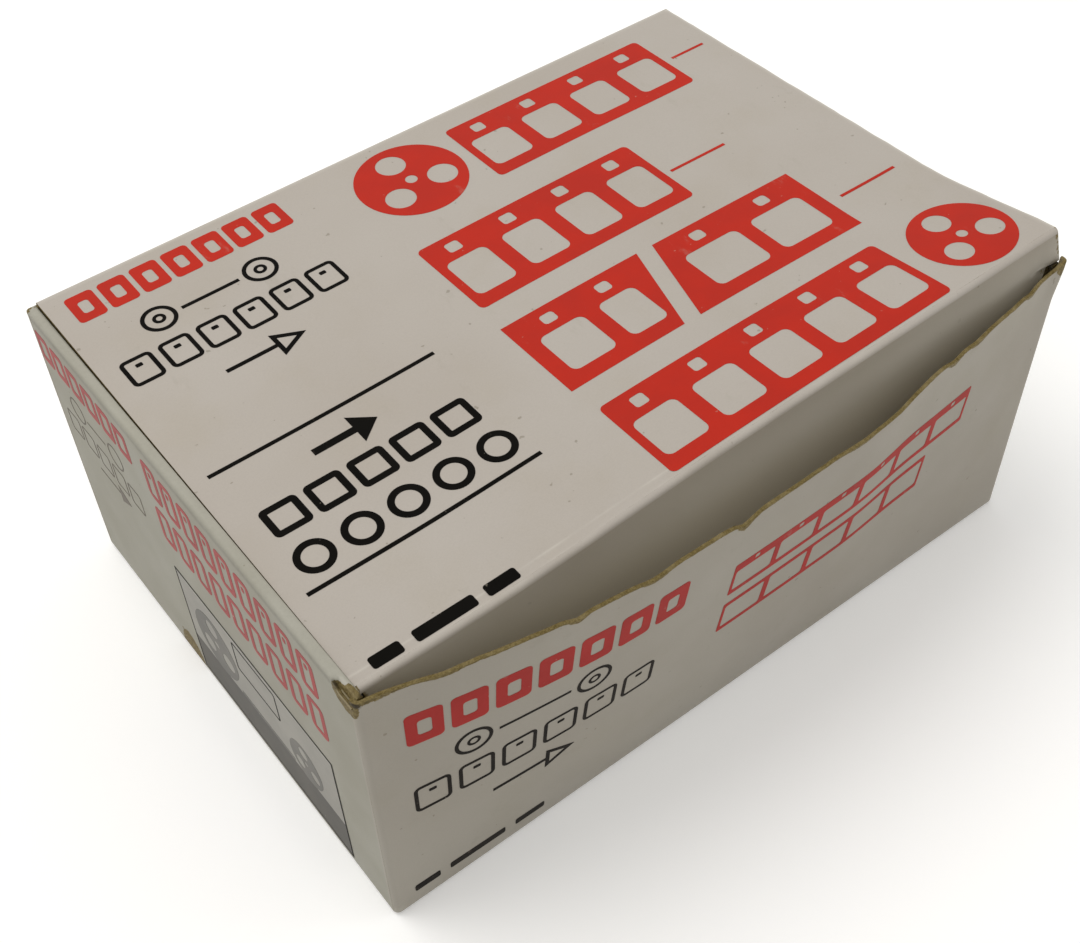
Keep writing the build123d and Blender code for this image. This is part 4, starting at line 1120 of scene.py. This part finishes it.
# lid, the four large red bands
print_on("lid_print_band_1",
         [film_reel(96.5, 20.0, 15.2), frame_strip(115, 8.5, 182, 34.5, 16.8, 4.2)],
         on_lid, RED)
print_on("lid_print_band_2", [frame_strip(80.5, 45.5, 147.5, 73.5, 16.8, 4.4)], on_lid, RED)
splice_a = [[(79.5, 82), (121, 82), (113, 109), (79.5, 109)], box2(84, 90.5, 97, 104.5, 2),
            box2(101.5, 90.5, 112.5, 104.5, 2), box2(88.5, 84.6, 92.5, 88, 1),
            box2(105, 84.6, 109, 88, 1)]
splice_b = [[(126, 82), (171, 82), (171, 109), (118, 109)], box2(128.5, 90.5, 145.5, 104.5, 2),
            box2(150, 90.5, 166.5, 104.5, 2), box2(135, 84.6, 139, 88, 1),
            box2(156.5, 84.6, 160.5, 88, 1)]
print_on("lid_print_band_3", [splice_a, splice_b], on_lid, RED)
print_on("lid_print_band_4",
         [frame_strip(80.5, 117, 166, 142.5, 17, 4.2), film_reel(184, 129.3, 13.2)],
         on_lid, RED)
print_on("lid_print_rules", [[box2(184.5, 21.5, 196, 22.4)], [box2(149.5, 61.5, 168, 62.4)],
                             [box2(175, 97.4, 194, 98.3)]], on_lid, RED)
squares = thick_row(7, 4.0, 8.75, (0, 4.6, 7.4, 15.2, 1.2), (2.3, 7.6, 5.1, 12.4, 0.8))
print_on("lid_print_row", squares, on_lid, RED)

# lid, the black line drawings
thin = reel_pair(19.5, 47.6, 25.3, ((4.6, 1.1), (1.7, 0.9)), (25.6, 24.8, 41.5, 25.9))
thin += outline_row(6, 4, 10.1, (8.4, 33.5, 43.2), 1.1, 1.6, (3.3, 36.0, 5.1, 37.2, 0.3))
thin.append([arrow(23, 36.6, 44.6, 51.6, 0.6, 4.2), [(37.8, 49.4), (37.8, 53.8), (42.1, 51.6)]])
print_on("lid_print_lines", thin, on_lid, BLACK)
bold = [[box2(3.3, 77.3, 63.3, 78.4)], [box2(3.3, 118.2, 63.3, 119.3)]]
bold.append([arrow(25, 36, 42, 86.2, 1.0, 4.6)])
bold += outline_row(5, 6.2, 11.1, (9.4, 93.4, 102.4), 1.7, 1.4)
bold += [outline_ring(10.0 + index * 11.8, 111.0, 4.7, 1.7) for index in range(5)]
bold += dashes(((4.0, 11.4), (14.4, 29.4), (32.0, 40.0)), 139.4, 142.6, 0.7)
print_on("lid_print_bold", bold, on_lid, BLACK)

# front wall
squares = thick_row(7, 9.0, 9.8, (0, 11.0, 8.2, 22.4, 1.3), (2.6, 14.2, 5.7, 19.4, 0.8))
print_on("front_print_row", squares, on_front, WALL_RED)
thin = reel_pair(23.5, 53.0, 31.0, ((4.5, 0.9), (1.6, 0.7)), (29.5, 30.5, 47.0, 31.4))
thin += outline_row(6, 9, 10.6, (8.8, 39.5, 49.5), 0.95, 1.6, (3.5, 42.0, 5.3, 43.1, 0.3))
thin.append([arrow(28, 42.0, 50.0, 57.8, 0.6, 4.1), [(43.1, 55.6), (43.1, 60.0), (47.3, 57.8)]])
thin += dashes(((6.0, 13.0), (15.8, 31.5), (34.5, 43.0)), 80.6, 83.2, 0.6)
print_on("front_print_lines", thin, on_front, WALL_BLACK)
print_on("front_print_band", [frame_strip(90.5, 19.0, 172.5, 31.6, 13.6, 1.6),
                              frame_strip(90.5, 35.6, 160.5, 48.0, 13.9, 1.6, False)],
         on_front, WALL_RED)

# left end
squares = thick_row(6, 2.5, 8.2, (0, 5.6, 6.8, 15.2, 1.1), (1.7, 7.6, 5.1, 13.2, 0.7))
print_on("left_print_row", squares, on_left, END_RED)
thin = reel_pair(17, 37.4, 23.0, ((3.9, 0.5),), (22.3, 22.7, 32.0, 23.2))
thin += outline_row(5, 7, 8.3, (6.9, 29.0, 36.6), 0.5, 1.2)
thin.append([arrow(20, 31.0, 37, 41.4, 0.3, 3.0)])
print_on("left_print_lines", thin, on_left, END_BLACK)
frames = outline_row(9, 57.5, 8.4, (6.6, 6.0, 18.6), 1.7, 1.8, (2.7, 8.9, 3.9, 10.6, 0.4))
frames += outline_row(9, 57.5, 8.4, (6.6, 22.0, 34.4), 1.7, 1.8)
print_on("left_print_band", frames, on_left, END_RED)
# left end, a plain grey picture of film on a table
print_on("left_picture_ground", [[box2(58, 45.2, 129, 71.5)]], on_left, GREY_LIGHT)
print_on("left_picture_table", [[box2(58, 71.5, 129, 85.6)]], on_left, GREY_DARK)
print_on("left_picture_shapes", [film_reel(72.5, 61.5, 10.2), film_reel(113.5, 64.8, 7.2),
                                 [[(82, 70.2), (107, 70.2), (107, 71.4), (82, 71.4)]]],
         on_left, GREY_MID, 0.07)
print_on("left_picture_frame", [[box2(57.6, 44.8, 129.4, 86.0), box2(58.1, 45.3, 128.9, 85.5)],
                                [box2(84, 47.5, 104, 58.5, 1), box2(84.5, 48, 103.5, 58, 0.7)]],
         on_left, WALL_BLACK, 0.07)

# ------------ the pieces that stay as built
for entry in frame["record"]["subparts"]:
    node = frame["nodes"].get(entry["node"])
    if node is None or node.hide_render:
        continue
    node.data.materials.clear()
    node.data.materials.append(SLOT_MATERIALS[entry["material_slot"]])
